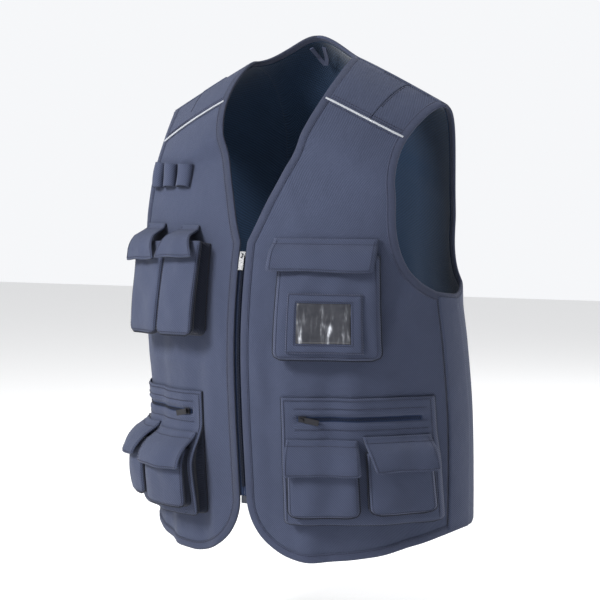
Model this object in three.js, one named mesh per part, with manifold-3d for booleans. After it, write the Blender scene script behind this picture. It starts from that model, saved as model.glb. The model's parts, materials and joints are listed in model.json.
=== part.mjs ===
// A sleeveless utility work vest of cotton twill, standing in the shape that it has when it is worn.
// Millimetres, +Z up. The wearer faces -Y and the wearer's left is +X. The origin lies between the
// two shoulder ridges, level with the points where the neckline crosses them.
import * as THREE from 'three';
import { mergeVertices } from 'three/addons/utils/BufferGeometryUtils.js';
import Module from 'manifold-3d';

const wasm = await Module();
wasm.setup();

// Driving dimensions of the body of the vest
const CHEST_HALF_WIDTH = 228;
const FRONT_DEPTH = 166;
const BACK_DEPTH = 154;
const FRONT_LENGTH = 632;
const SIDE_LENGTH = 598;
const BACK_LENGTH = 600;
const NECK_HALF_WIDTH = 74;
const SHOULDER_HALF_WIDTH = 226;
const SHOULDER_DROP = 76;
const SHOULDER_FORWARD = 6;
const FRONT_CAP_DROP = 152;
const BACK_CAP_DROP = 140;
const BACK_NECK_RISE = 19;
const HEM_CORNER_RADIUS = 85;

// Driving dimensions of the cloth, the trims and the clearances between pieces
const CLOTH = 2;
const GAP = 0.3;
const EDGE_GAP = 0.9;
const SEAM_GAP = 0.8;
const BINDING_WIDTH = 11;
const BINDING_PROUD = 0.8;
const LINING_THICKNESS = 1;
const LINING_CLEARANCE = 3;
const HANGER_CLEARANCE = 4;
const PIPING_PROUD = 1.8;
const POCKET_WALL = 1.5;
const FLAP_THICKNESS = 2;
const POCKET_SEAT = 0.9;
const TAPE_THICKNESS = 1.4;

// Driving dimensions of the zips
const ZIP_HALF_OPENING = 5;
const ZIP_TAPE_HALF_WIDTH = 13.5;
const ZIP_CHAIN_HALF_WIDTH = 2.4;
const ZIP_CHAIN_PROUD = 0.8;
const SLIDER_WIDTH = 8;
const SLIDER_LENGTH = 10;
const SLIDER_PLATE = 1.7;
const BRIDGE_WIDTH = 2;
const BRIDGE_WALL = 1;
const TAB_THICKNESS = 1.2;
const TAB_WIDTH = 7;
const TAB_LENGTH = 19;
const POCKET_SLIDER_LENGTH = 9;
const POCKET_SLIDER_WIDTH = 7;
const POCKET_TAB_LENGTH = 22;
const POCKET_TAB_LEAN = 78;

// The form that the cloth follows. Each row is a level section: its height down the front as a share
// of the front length, its half width as a share of the chest's, its front as a share of the front
// depth, and its side and back lines as shares of the back depth.
const SECTIONS = [
  { height: 0.19, width: 1.06, front: 0.68, side: -0.24, back: 0.57 },
  { height: 0.32, width: 1.025, front: 0.872, side: -0.205, back: 0.64 },
  { height: 0.445, width: 0.99, front: 0.975, side: -0.13, back: 0.72 },
  { height: 0.57, width: 0.998, front: 1.02, side: -0.006, back: 0.812 },
  { height: 0.71, width: 0.994, front: 1.0, side: 0.12, back: 0.907 },
  { height: 0.87, width: 0.985, front: 0.945, side: 0.17, back: 0.995 },
  { height: 1.045, width: 0.973, front: 0.895, side: 0.19, back: 1.078 },
];
const ROUNDNESS = 1.92;
const SHOULDER_ROUND = 50;
const CHEST_SLOPE_SHARE = 0.75;
const CHEST_SLOPE_POWER = 1.96;
const BACK_CAP_POWER = 0.85;
const BACK_CAP_FULLNESS = 0.55;

const FOOT_BLEND = 18;

// A place on the cloth is an angle around the form, 0 at the middle and 90 at the side, and a way
// down it: 0 is the shoulder ridge, 90 the foot of the shoulder cap and 255 the hem. The way down
// is positive on the front half and negative on the back half.
const CAP_FOOT = 90;
const HEM = 255;
const SIDE_SEAM = 75;

// Main folds of the cloth: the side they are on, where they lie as shares of the chest half width
// and the front length, their length and width as shares of the chest half width, their lean from
// upright in degrees, and how far they stand out as a share of the front depth.
const FOLDS = [
  { side: 1, x: 0.36, z: 1.0, long: 0.2, wide: 0.16, lean: -6, height: 0.02 },
  { side: -1, x: 0.4, z: 1.0, long: 0.2, wide: 0.16, lean: 8, height: 0.02 },
];

// Edge of the neck opening on the front, as shares of the neck half width, down to the zip
const NECK_FRONT = [
  { down: 0, open: 1.0 },
  { down: 25, open: 1.02 },
  { down: 40, open: 1.0 },
  { down: 55, open: 0.935 },
  { down: 72, open: 0.79 },
  { down: 90, open: 0.575 },
  { down: 105, open: 0.355 },
  { down: 118, open: 0.17 },
  { down: 128, open: 0.0 },
];
// Edge of the neck opening on the back
const NECK_BACK = [
  { down: 0, open: 1.0 },
  { down: 3, open: 0.975 },
  { down: 8, open: 0.86 },
  { down: 12.5, open: 0.66 },
  { down: 16, open: 0.4 },
  { down: 18, open: 0.0 },
];
// Armhole edges, as angles around the form
const ARMHOLE_FRONT = [
  { down: 0, around: 66.2 },
  { down: 14, around: 62.8 },
  { down: 29, around: 58.9 },
  { down: 43, around: 55.2 },
  { down: 55, around: 52.6 },
  { down: 67, around: 51.6 },
  { down: 81, around: 52.0 },
  { down: 93, around: 53.0 },
  { down: 103.5, around: 55.8 },
  { down: 112.5, around: 60.6 },
  { down: 118, around: 66.8 },
  { down: 121.3, around: 75 },
];
const ARMHOLE_BACK = [
  { down: 0, around: 66.2 },
  { down: 14, around: 66 },
  { down: 30, around: 65 },
  { down: 50, around: 63.5 },
  { down: 70, around: 62 },
  { down: 85, around: 61 },
  { down: 100, around: 60.6 },
  { down: 108, around: 61.8 },
  { down: 114, around: 65.5 },
  { down: 118.5, around: 72.5 },
  { down: 121, around: 81 },
  { down: 122, around: 90 },
];
const PIPING_DOWN = 51;
const PIPING_HALF = 0.35;
const YOKE_EDGE = 0.6;
const ZIP_TOP = 128;
const HEM_CORNER_TOP = 229;
const ARMHOLE_FOOT = 122;

// Stations down each edge where the cloth's rows end
const YOKE_ROWS = [0.6, 13, 26, 39, PIPING_DOWN - YOKE_EDGE];
const FRONT_INNER_ROWS = [PIPING_DOWN + YOKE_EDGE, 63, 75, 87, 98, 109, 119, ZIP_TOP, 143, 158, 174, 190, 206, 219];
const CORNER_STEPS = 4;
const ARM_FRONT_ROWS = [PIPING_DOWN + YOKE_EDGE, 60, 70, 80, 90, 99, 107, 113.5, 118];
const SEAM_ROWS = [121.3, 133, 147, 163, 180, 198, 216, 232, 245, HEM];
const ARM_BACK_ROWS = [0.2, 15, 31, 47, 62, 77, 91, 102, 110, 116, 120.3, ARMHOLE_FOOT];
const BACK_CENTRE_ROWS = [31, 43, 55, 67, 80, 93, 106, 118, 129, 139, 149, 158, 166, 175, 185, 196, 208, 220, 232, 244];
const NECK_BACK_ROWS = [18, 17.2, 14.5, 10, 5, 0.2];
const FRONT_COLUMNS = [0, 0.14, 0.27, 0.4, 0.54, 0.66, 0.78, 0.89, 1];
const YOKE_SPLIT = 4;
const BACK_SHOULDER_COLUMNS = 6;

// Pockets: places on the front panels in millimetres from the middle and down from the origin, and
// depths out from the cloth
const CHEST_LEFT = { inner: 54, outer: 168, top: 250, bottom: 376, mouth: 8, base: 17 };
const CHEST_LEFT_FLAP = { inner: 43, outer: 168, lowerInner: 42, lowerOuter: 161, top: 230, bottom: 271, flare: 18 };
const WINDOW = { inner: 70, outer: 151, top: 297, bottom: 368 };
const WINDOW_FRAME = 11.5;
const WINDOW_THICKNESS = 1.2;
const FILM_THICKNESS = 1;
const CHEST_RIGHT = { inner: 50, outer: 168, split: 107, top: 238, bottom: 352, mouth: 23, base: 31 };
const CHEST_RIGHT_FLAPS = [
  { name: 'inner', inner: 73, outer: 100, lowerInner: 50, lowerOuter: 111, top: 215, bottom: 259, flare: 37 },
  { name: 'outer', inner: 137, outer: 172, lowerInner: 112.5, lowerOuter: 168, top: 213, bottom: 261, flare: 37 },
];
const LOWER_PATCH = { inner: 59, outer: 211, top: 424, bottom: 581 };
const LOWER_SLOT = { inner: 77, outer: 202, top: 442, bottom: 459 };
const LOWER_SHEET = 2.4;
const LOWER_BAGS = [
  { name: 'inner', inner: 67, outer: 140, top: 494, bottom: 569, flapTop: 475, flapBottom: 517, slant: 0 },
  { name: 'outer', inner: 150, outer: 203, top: 490, bottom: 566, flapTop: 471, flapBottom: 513, slant: 9 },
];
const LOWER_FLAP_OVERHANG = 3;
// How far each lower pocket stands out at its belly and its foot, its bags' own depth beyond that,
// and the reach of the flaps
const LOWER_SIDES = [
  { name: 'left', side: 1, belly: 9, foot: 11, bag: 13, flare: 28 },
  { name: 'right', side: -1, belly: 25, foot: 20, bag: 14, flare: 46 },
];
const PEN_LOOPS = [
  { inner: 101, outer: 124 },
  { inner: 128, outer: 148 },
  { inner: 152, outer: 170 },
];
const PEN_LOOP_SEAT = 1.3;
const PEN_LOOP_TOP = 137;
const PEN_LOOP_HEIGHT = 30;
const PEN_LOOP_RISE = 10;
const PEN_LOOP_WALL = 1.6;

// Hanger loop inside the back of the neck
const HANGER_HALF_WIDTH = 13;
const HANGER_DROP = 26;
const HANGER_TAPE_WIDTH = 6;
const HANGER_THICKNESS = 1.2;

const DEGREE = Math.PI / 180;
const mix = (a, b, share) => a + (b - a) * share;

// Cloth, metal and other finishes
const finish = (name, color, roughness, metalness = 0) =>
  new THREE.MeshStandardMaterial({ name, color, roughness, metalness });
const TWILL = finish('twill', 0x43475f, 0.9);
const BINDING = finish('binding', 0x3c4058, 0.9);
const MESH_LINING = finish('mesh_lining', 0x2b3a58, 0.95);
const REFLECTIVE = finish('reflective_piping', 0xb9bdc4, 0.45);
const FILM = finish('clear_film', 0x9aa0ac, 0.15);
const ZIP_TAPE = finish('zip_tape', 0x2f3c58, 0.9);
const STEEL = finish('zip_steel', 0xb8bac0, 0.3, 1);
const BLACK_METAL = finish('black_metal', 0x17181c, 0.4, 0.8);

const vest = new THREE.Group();

function addPiece(name, geometry, material) {
  const mesh = new THREE.Mesh(geometry, material);
  mesh.name = name;
  vest.add(mesh);
  return mesh;
}

// Value of one column of a table at a place between its rows, on a smooth curve through the rows
function between(rows, key, column, place) {
  const last = rows.length - 1;
  let row = 0;
  while (row < last - 1 && place > rows[row + 1][key]) row += 1;
  const slope = (from, to) => (rows[to][column] - rows[from][column]) / (rows[to][key] - rows[from][key]);
  const span = rows[row + 1][key] - rows[row][key];
  const share = THREE.MathUtils.clamp((place - rows[row][key]) / span, 0, 1);
  const startSlope = slope(Math.max(row - 1, 0), row + 1) * span;
  const endSlope = slope(row, Math.min(row + 2, last)) * span;
  const squared = share * share;
  const cubed = squared * share;
  return (2 * cubed - 3 * squared + 1) * rows[row][column] + (cubed - 2 * squared + share) * startSlope
    + (3 * squared - 2 * cubed) * rows[row + 1][column] + (cubed - squared) * endSlope;
}

// Height of the shoulder ridge at a distance from the middle. Behind the neck the cloth rises.
function ridgeHeight(x, back) {
  const root = (value) => Math.hypot(value, SHOULDER_ROUND);
  const fall = SHOULDER_DROP / (root(SHOULDER_HALF_WIDTH) - root(NECK_HALF_WIDTH));
  const nearNeck = Math.max(1 - x / NECK_HALF_WIDTH, 0);
  const rise = back ? BACK_NECK_RISE * nearNeck * nearNeck * (3 - 2 * nearNeck) : 0;
  return fall * (root(NECK_HALF_WIDTH) - root(x)) + rise;
}

// How far the folds push the front cloth out at a place
function foldHeight(side, x, z) {
  let height = 0;
  for (const fold of FOLDS) {
    if (fold.side !== side) continue;
    const across = x - fold.x * CHEST_HALF_WIDTH;
    const up = z + fold.z * FRONT_LENGTH;
    const lean = fold.lean * DEGREE;
    const along = (across * Math.sin(lean) + up * Math.cos(lean)) / (fold.long * CHEST_HALF_WIDTH);
    const beside = (across * Math.cos(lean) - up * Math.sin(lean)) / (fold.wide * CHEST_HALF_WIDTH);
    height += fold.height * FRONT_DEPTH * Math.exp(-along * along - beside * beside);
  }
  return height;
}

// The outer face of the cloth: a rounded shoulder cap above level sections
function formPoint(side, around, down) {
  const back = down < 0;
  const way = Math.abs(down);
  const across = Math.sin(around * DEGREE) ** (2 / ROUNDNESS);
  const ahead = Math.max(Math.cos(around * DEGREE), 0) ** (2 / ROUNDNESS);
  const ridgeX = SHOULDER_HALF_WIDTH * across;
  const ridgeZ = ridgeHeight(ridgeX, back);
  const sideBlend = across ** 4;
  const capDrop = back ? BACK_CAP_DROP + (FRONT_CAP_DROP - BACK_CAP_DROP) * sideBlend : FRONT_CAP_DROP;
  const middleHem = back ? BACK_LENGTH : FRONT_LENGTH;
  const hemZ = -(middleHem + (SIDE_LENGTH - middleHem) * sideBlend);
  const footZ = ridgeZ - capDrop;
  const tilt = Math.min(way, CAP_FOOT) * DEGREE;
  const inCap = way <= CAP_FOOT;
  const z = inCap ? ridgeZ - capDrop * (1 - Math.cos(tilt))
    : footZ + (hemZ - footZ) * (way - CAP_FOOT) / (HEM - CAP_FOOT);
  const nearFoot = THREE.MathUtils.smoothstep(way, CAP_FOOT - FOOT_BLEND, CAP_FOOT);
  const level = -(inCap ? footZ + (z - footZ) * nearFoot : z) / FRONT_LENGTH;
  const halfWidth = between(SECTIONS, 'height', 'width', level) * CHEST_HALF_WIDTH;
  const frontY = -between(SECTIONS, 'height', 'front', level) * FRONT_DEPTH;
  const sideY = between(SECTIONS, 'height', 'side', level) * BACK_DEPTH;
  const backY = between(SECTIONS, 'height', 'back', level) * BACK_DEPTH;
  const rise = Math.sin(tilt);
  const fullness = BACK_CAP_FULLNESS + (1 - BACK_CAP_FULLNESS) * rise * rise;
  const sectionY = back ? sideY + (backY - sideY) * ahead ** fullness : sideY - (sideY - frontY) * ahead;
  const profile = back ? rise ** BACK_CAP_POWER
    : (1 - CHEST_SLOPE_SHARE) * rise + CHEST_SLOPE_SHARE * rise ** CHEST_SLOPE_POWER;
  const x = ridgeX + (halfWidth * across - ridgeX) * (1 - Math.cos(tilt));
  const y = -SHOULDER_FORWARD + (sectionY + SHOULDER_FORWARD) * profile;
  const fold = back ? 0 : foldHeight(side, x, z);
  const reach = Math.hypot(x, y);
  return new THREE.Vector3(side * x * (1 + fold / reach), y * (1 + fold / reach), z);
}

// Outward direction of the cloth at a place
function formNormal(side, around, down) {
  const step = 0.4;
  const turn = Math.min(Math.max(around, step), 90 - step);
  const sign = down < 0 ? -1 : 1;
  const way = Math.max(Math.abs(down), step + 0.1);
  const alongTurn = formPoint(side, turn + step, sign * way).sub(formPoint(side, turn - step, sign * way));
  const alongWay = formPoint(side, turn, sign * (way + step)).sub(formPoint(side, turn, sign * (way - step)));
  return alongTurn.cross(alongWay).multiplyScalar(-side * sign).normalize();
}

function offsetPoint(side, spot, out) {
  return formPoint(side, spot.around, spot.down).addScaledVector(formNormal(side, spot.around, spot.down), out);
}

// Angle around the form where the cloth is a distance from the middle, at one way down
function aroundAt(x, down) {
  let low = 0;
  let high = 90;
  for (let turn = 0; turn < 30; turn += 1) {
    const middle = (low + high) / 2;
    if (Math.abs(formPoint(0.5, middle, down).x * 2) < x) low = middle;
    else high = middle;
  }
  return (low + high) / 2;
}

// Place on the front cloth at a distance from the middle and a height, found by halving
function spotAt(x, z) {
  let low = 0.5;
  let high = HEM + 10;
  for (let turn = 0; turn < 26; turn += 1) {
    const middle = (low + high) / 2;
    if (formPoint(0.5, aroundAt(x, middle), middle).z > z) low = middle;
    else high = middle;
  }
  return { around: aroundAt(x, low), down: low };
}

// Point on a front panel, a distance from the middle and down from the origin, and out from the cloth
function panelPoint(side, x, fall, out) {
  return offsetPoint(side, spotAt(x, -fall), out);
}

// Closed geometry from points and triangles, turned so that its faces point out
function closedGeometry(points, triangles) {
  let volume = 0;
  for (const [a, b, c] of triangles) volume += points[a].dot(points[b].clone().cross(points[c]));
  const faces = volume < 0 ? triangles.map(([a, b, c]) => [a, c, b]) : triangles;
  const geometry = new THREE.BufferGeometry();
  geometry.setAttribute('position', new THREE.Float32BufferAttribute(points.flatMap((p) => [p.x, p.y, p.z]), 3));
  geometry.setIndex(faces.flat());
  return geometry;
}

// A sheet of cloth between two grids of points, closed by a rim around its edge
function sheet(outer, inner) {
  const rows = outer.length;
  const columns = outer[0].length;
  const points = [...outer.flat(), ...inner.flat()];
  const under = rows * columns;
  const index = (row, column) => row * columns + column;
  const triangles = [];
  const quad = (a, b, c, d) => triangles.push([a, b, c], [a, c, d]);
  for (let row = 0; row < rows - 1; row += 1) {
    for (let column = 0; column < columns - 1; column += 1) {
      const a = index(row, column);
      const b = index(row, column + 1);
      const c = index(row + 1, column + 1);
      const d = index(row + 1, column);
      quad(a, b, c, d);
      triangles.push([under + a, under + c, under + b], [under + a, under + d, under + c]);
    }
  }
  const rim = [];
  for (let column = 0; column < columns - 1; column += 1) rim.push(index(0, column));
  for (let row = 0; row < rows - 1; row += 1) rim.push(index(row, columns - 1));
  for (let column = columns - 1; column > 0; column -= 1) rim.push(index(rows - 1, column));
  for (let row = rows - 1; row > 0; row -= 1) rim.push(index(row, 0));
  rim.forEach((start, place) => {
    const end = rim[(place + 1) % rim.length];
    quad(start, under + start, under + end, end);
  });
  return closedGeometry(points, triangles);
}

// A bar with the same number of corners at each section, closed on itself or capped at its ends
function bar(sections, loop) {
  const corners = sections[0].length;
  const points = sections.flat();
  const triangles = [];
  const steps = loop ? sections.length : sections.length - 1;
  for (let step = 0; step < steps; step += 1) {
    const next = (step + 1) % sections.length;
    for (let corner = 0; corner < corners; corner += 1) {
      const turn = (corner + 1) % corners;
      const a = step * corners + corner;
      const b = step * corners + turn;
      const c = next * corners + turn;
      const d = next * corners + corner;
      triangles.push([a, b, c], [a, c, d]);
    }
  }
  if (!loop) {
    const end = (sections.length - 1) * corners;
    for (let corner = 1; corner < corners - 1; corner += 1) {
      triangles.push([0, corner + 1, corner]);
      triangles.push([end, end + corner, end + corner + 1]);
    }
  }
  return closedGeometry(points, triangles);
}

function solidOf(geometry) {
  const bare = geometry.clone();
  bare.deleteAttribute('normal');
  bare.deleteAttribute('uv');
  const merged = mergeVertices(bare, 1e-5);
  const vertProperties = Float32Array.from(merged.getAttribute('position').array);
  const triVerts = Uint32Array.from(merged.getIndex().array);
  return new wasm.Manifold(new wasm.Mesh({ numProp: 3, vertProperties, triVerts }));
}

function geometryOf(solid) {
  const mesh = solid.getMesh();
  const geometry = new THREE.BufferGeometry();
  geometry.setAttribute('position', new THREE.Float32BufferAttribute(Array.from(mesh.vertProperties), 3));
  geometry.setIndex(Array.from(mesh.triVerts));
  return geometry;
}

// A spot a width in from an edge, square to the edge's run, as a place on the cloth
function insetSpot(side, before, spot, after, width) {
  const point = formPoint(side, spot.around, spot.down);
  const run = formPoint(side, after.around, after.down).sub(formPoint(side, before.around, before.down));
  const inward = formNormal(side, spot.around, spot.down).cross(run).normalize().multiplyScalar(width * side);
  const step = 0.5;
  const sign = spot.down < 0 ? -1 : 1;
  const turn = Math.min(Math.max(spot.around, step), 90 - step);
  const way = Math.max(Math.abs(spot.down), step);
  const at = formPoint(side, turn, sign * way);
  const alongTurn = formPoint(side, turn + step, sign * way).sub(at).divideScalar(step);
  const alongWay = formPoint(side, turn, sign * (way + step)).sub(at).divideScalar(step);
  const tt = alongTurn.dot(alongTurn);
  const tw = alongTurn.dot(alongWay);
  const ww = alongWay.dot(alongWay);
  const it = inward.dot(alongTurn);
  const iw = inward.dot(alongWay);
  const spread = tt * ww - tw * tw;
  const around = spot.around + (it * ww - iw * tw) / spread;
  const move = (iw * tt - it * tw) / spread;
  const edge = Math.abs(spot.down) < 1 ? Math.abs(spot.down) : Math.max(Math.abs(spot.down) + move, 0.1);
  return { around: Math.max(around, 0), down: sign * edge, from: point };
}

// Spots along the garment's edges, on one side of it, ordered so that the cloth lies on the same hand
const neckFrontSpot = (down) => {
  const open = Math.max(between(NECK_FRONT, 'down', 'open', Math.min(down, ZIP_TOP)) * NECK_HALF_WIDTH, ZIP_HALF_OPENING);
  return { around: aroundAt(open, down), down };
};
const neckBackSpot = (down) => {
  const open = between(NECK_BACK, 'down', 'open', down) * NECK_HALF_WIDTH;
  return { around: aroundAt(open, -down), down: -down };
};
const armFrontSpot = (down) => ({ around: between(ARMHOLE_FRONT, 'down', 'around', down), down });
const armBackSpot = (down) => ({ around: between(ARMHOLE_BACK, 'down', 'around', down), down: -down });
const cornerSpot = (share) => {
  const turn = share * 90 * DEGREE;
  const down = HEM_CORNER_TOP + (HEM - HEM_CORNER_TOP) * Math.sin(turn);
  const x = ZIP_HALF_OPENING + HEM_CORNER_RADIUS * (1 - Math.cos(turn));
  return { around: aroundAt(x, down), down };
};
const cornerShares = Array.from({ length: CORNER_STEPS + 1 }, (_, step) => step / CORNER_STEPS);
const hemCornerEnd = cornerSpot(1);
const hemFrontSpots = FRONT_COLUMNS.slice(1).map((share) => (
  { around: hemCornerEnd.around + (SIDE_SEAM - hemCornerEnd.around) * share, down: HEM }));

// Columns of the back, from its middle to its outer edge: some across the neck, then the shoulder
const BACK_NECK_SHARE = 0.29;
const neckColumns = NECK_BACK_ROWS.length - 1;
const backColumns = [
  ...Array.from({ length: neckColumns }, (_, step) => BACK_NECK_SHARE * step / neckColumns),
  ...Array.from({ length: BACK_SHOULDER_COLUMNS + 1 }, (_, step) => (
    BACK_NECK_SHARE + (1 - BACK_NECK_SHARE) * step / BACK_SHOULDER_COLUMNS)),
];

// The back's spots are also held as a turn from 75 at the side seam to 180 at the middle
const asTurn = (spot) => ({ around: spot.down < 0 ? 180 - spot.around : spot.around, down: Math.abs(spot.down) });
const fromTurn = (spot) => (spot.around > 90 ? { around: Math.max(180 - spot.around, 0), down: -spot.down } : spot);
const hemBackSpots = backColumns.slice(0, -1).reverse().map((share) => (
  fromTurn({ around: mix(180, SIDE_SEAM, share), down: HEM })));

const frontEdge = [
  ...YOKE_ROWS.map(neckFrontSpot),
  ...FRONT_INNER_ROWS.map(neckFrontSpot),
  ...cornerShares.map(cornerSpot),
];
const armEdge = [
  ...YOKE_ROWS.map(armFrontSpot),
  ...ARM_FRONT_ROWS.map(armFrontSpot),
];
const seamEdge = SEAM_ROWS.map((down) => ({ around: SIDE_SEAM, down }));
const armBackEdge = ARM_BACK_ROWS.map(armBackSpot);
const neckBackEdge = NECK_BACK_ROWS.map(neckBackSpot);
const hemSeamPlace = neckBackEdge.length + frontEdge.length + hemFrontSpots.length - 1;

// The whole outline on one side, from the middle of the back neck round to the middle of the back hem
const outline = [
  ...neckBackEdge.slice(),
  ...frontEdge,
  ...hemFrontSpots,
  ...hemBackSpots,
];
const armLoop = [...armEdge, seamEdge[0], ...armBackEdge.slice().reverse()];

function insetOutline(side, width) {
  return outline.map((spot, place) => {
    const before = place === 0 ? { around: -outline[1].around, down: outline[1].down } : outline[place - 1];
    const after = outline[Math.min(place + 1, outline.length - 1)];
    if (place === 0) return middleInset(side, spot, width, 1);
    if (place === outline.length - 1) return middleInset(side, spot, width, -1);
    const inset = insetSpot(side, before, spot, after, width);
    return place === hemSeamPlace ? { ...inset, around: SIDE_SEAM } : inset;
  });
}

// Inset of an edge spot on the middle of the back, straight down or up the cloth
function middleInset(side, spot, width, way) {
  const start = formPoint(side, spot.around, spot.down);
  let down = spot.down;
  while (formPoint(side, spot.around, down).distanceTo(start) < width) down -= 0.05 * way;
  return { around: spot.around, down };
}

function insetArm(side, width) {
  const count = armLoop.length;
  const spots = armLoop.map((spot, place) => (
    insetSpot(side, armLoop[(place + 1) % count], spot, armLoop[(place + count - 1) % count], width)));
  const seam = armEdge.length;
  const [ahead, at, behind] = [spots[seam - 1], spots[seam], spots[seam + 1]].map(asTurn);
  const [from, to] = at.around < SIDE_SEAM ? [at, behind] : [ahead, at];
  const share = (SIDE_SEAM - from.around) / (to.around - from.around);
  spots[seam] = { around: SIDE_SEAM, down: mix(from.down, to.down, share) };
  return spots;
}

// Inset edges cut into the runs that the panels need
function edgesFor(side, width) {
  const rim = insetOutline(side, width);
  const arm = insetArm(side, width);
  const neckCount = neckBackEdge.length;
  const frontCount = frontEdge.length;
  const hemStart = neckCount + frontCount;
  const hemFront = rim.slice(hemStart, hemStart + hemFrontSpots.length);
  const hemDown = rim[hemSeamPlace].down;
  const seam = SEAM_ROWS.map((down, row) => ({
    around: SIDE_SEAM,
    down: row === 0 ? arm[armEdge.length].down : Math.min(down, hemDown),
  }));
  return {
    neckBack: rim.slice(0, neckCount),
    front: rim.slice(neckCount, hemStart),
    hemFront: [rim[hemStart - 1], ...hemFront],
    arm: arm.slice(0, armEdge.length),
    armBack: arm.slice(armEdge.length + 1).reverse(),
    seam,
    hemBack: rim.slice(hemSeamPlace),
  };
}

// A grid of spots filled in between four edges that meet at their ends
function fillGrid(top, bottom, left, right, columnShares) {
  const last = left.length - 1;
  const start = left[0].down;
  const span = left[last].down - start;
  return left.map((leftSpot, row) => {
    const fall = (leftSpot.down - start) / span;
    return columnShares.map((share, column) => {
      const value = (key) => mix(top[column][key], bottom[column][key], fall)
        + mix(leftSpot[key], right[row][key], share)
        - mix(mix(top[0][key], top[top.length - 1][key], share),
          mix(bottom[0][key], bottom[bottom.length - 1][key], share), fall);
      return { around: value('around'), down: value('down') };
    });
  });
}

const straightRun = (from, to, shares) => shares.map((share) => (
  { around: mix(from.around, to.around, share), down: mix(from.down, to.down, share) }));

// Grid of the whole front on one side, from the shoulder ridge to the hem
function frontGrid(edges, firstRow) {
  const inner = edges.front.slice(firstRow);
  const outer = [...edges.arm, ...edges.seam].slice(firstRow);
  const top = straightRun(inner[0], outer[0], FRONT_COLUMNS);
  return fillGrid(top, edges.hemFront, inner, outer, FRONT_COLUMNS);
}

function backHalfGrid(edges, seamGap) {
  const outer = [...edges.armBack.map(asTurn), ...edges.seam.map((spot) => ({ around: spot.around + seamGap, down: spot.down }))];
  const bottom = edges.hemBack.map(asTurn).reverse();
  bottom[bottom.length - 1] = outer[outer.length - 1];
  const middle = [Math.abs(edges.neckBack[0].down), ...BACK_CENTRE_ROWS, bottom[0].down].map((down) => (
    { around: 180, down }));
  const neck = edges.neckBack.map(asTurn);
  const shoulder = straightRun(neck[neck.length - 1], outer[0], Array.from(
    { length: BACK_SHOULDER_COLUMNS + 1 }, (_, step) => step / BACK_SHOULDER_COLUMNS));
  const top = [...neck.slice(0, -1), ...shoulder];
  return fillGrid(top, bottom, middle, outer, backColumns);
}

const every = (list, step) => list.filter((_, place) => place % step === 0 || place === list.length - 1);
const thin = (grid, rowStep, columnStep) => every(grid, rowStep).map((row) => every(row, columnStep));

function clothSheet(side, grid, outerOut, innerOut) {
  const lay = (out) => grid.map((row) => row.map((spot) => offsetPoint(side, spot, out)));
  return sheet(lay(outerOut), lay(innerOut));
}

// A whole back sheet: the left half's columns, then the right half's
function backSheet(leftGrid, rightGrid, outerOut, innerOut) {
  const lay = (out) => leftGrid.map((row, place) => [
    ...row.slice().reverse().map((spot) => offsetPoint(1, fromTurn(spot), out)),
    ...rightGrid[place].slice(1).map((spot) => offsetPoint(-1, fromTurn(spot), out)),
  ]);
  return sheet(lay(outerOut), lay(innerOut));
}

const sides = [{ name: 'left', side: 1 }, { name: 'right', side: -1 }];
const seamAngle = (SEAM_GAP / CHEST_HALF_WIDTH) / DEGREE;

// Fronts, yokes and piping
function makeFront({ name, side }) {
  const edges = edgesFor(side, BINDING_WIDTH + EDGE_GAP);
  const whole = frontGrid(edges, 0);
  const yokeRows = YOKE_ROWS.length;
  const lower = frontGrid(edges, yokeRows);
  addPiece(`front_${name}`, clothSheet(side, lower, 0, -CLOTH), TWILL);

  const yoke = whole.slice(0, yokeRows);
  const nudged = (rows, place, turn) => rows.map((row) => row.map((spot, column) => (
    column === place ? { around: spot.around + turn, down: spot.down } : spot)));
  const innerYoke = nudged(yoke.map((row) => row.slice(0, YOKE_SPLIT + 1)), YOKE_SPLIT, -seamAngle / 2);
  const outerYoke = nudged(yoke.map((row) => row.slice(YOKE_SPLIT)), 0, seamAngle / 2);
  addPiece(`yoke_${name}_inner`, clothSheet(side, innerYoke, BINDING_PROUD / 2, -CLOTH), TWILL);
  addPiece(`yoke_${name}_outer`, clothSheet(side, outerYoke, 0, -CLOTH), TWILL);

  const sections = lower[0].map((below, column) => {
    const above = yoke[yokeRows - 1][column];
    const spotAtShare = (share) => ({
      around: mix(above.around, below.around, share),
      down: mix(above.down, below.down, share),
    });
    const share = (YOKE_EDGE - PIPING_HALF) / (2 * YOKE_EDGE);
    const upper = spotAtShare(share);
    const under = spotAtShare(1 - share);
    return [
      offsetPoint(side, upper, PIPING_PROUD), offsetPoint(side, under, PIPING_PROUD),
      offsetPoint(side, under, -CLOTH), offsetPoint(side, upper, -CLOTH),
    ];
  });
  addPiece(`piping_${name}`, bar(sections, false), REFLECTIVE);
}

// Binding that folds over a raw edge: a strip from the edge in, thicker than the cloth on both faces
function bindingSections(side, edge, inset) {
  const proud = BINDING_PROUD;
  const under = -CLOTH - BINDING_PROUD * 0.75;
  return edge.map((spot, place) => [
    offsetPoint(side, spot, proud), offsetPoint(side, inset[place], proud),
    offsetPoint(side, inset[place], under), offsetPoint(side, spot, under),
  ]);
}

function makeBindings() {
  const left = bindingSections(1, outline, insetOutline(1, BINDING_WIDTH));
  const right = bindingSections(-1, outline, insetOutline(-1, BINDING_WIDTH));
  const loop = [...left, ...right.slice(1, -1).reverse()];
  addPiece('edge_binding', bar(loop, true), BINDING);
  for (const { name, side } of sides) {
    addPiece(`armhole_binding_${name}`, bar(bindingSections(side, armLoop, insetArm(side, BINDING_WIDTH)), true), BINDING);
  }
}

function makeBack() {
  const grids = sides.map(({ side }) => backHalfGrid(edgesFor(side, BINDING_WIDTH + EDGE_GAP), seamAngle));
  addPiece('back_panel', backSheet(grids[0], grids[1], 0, -CLOTH), TWILL);
}

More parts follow.
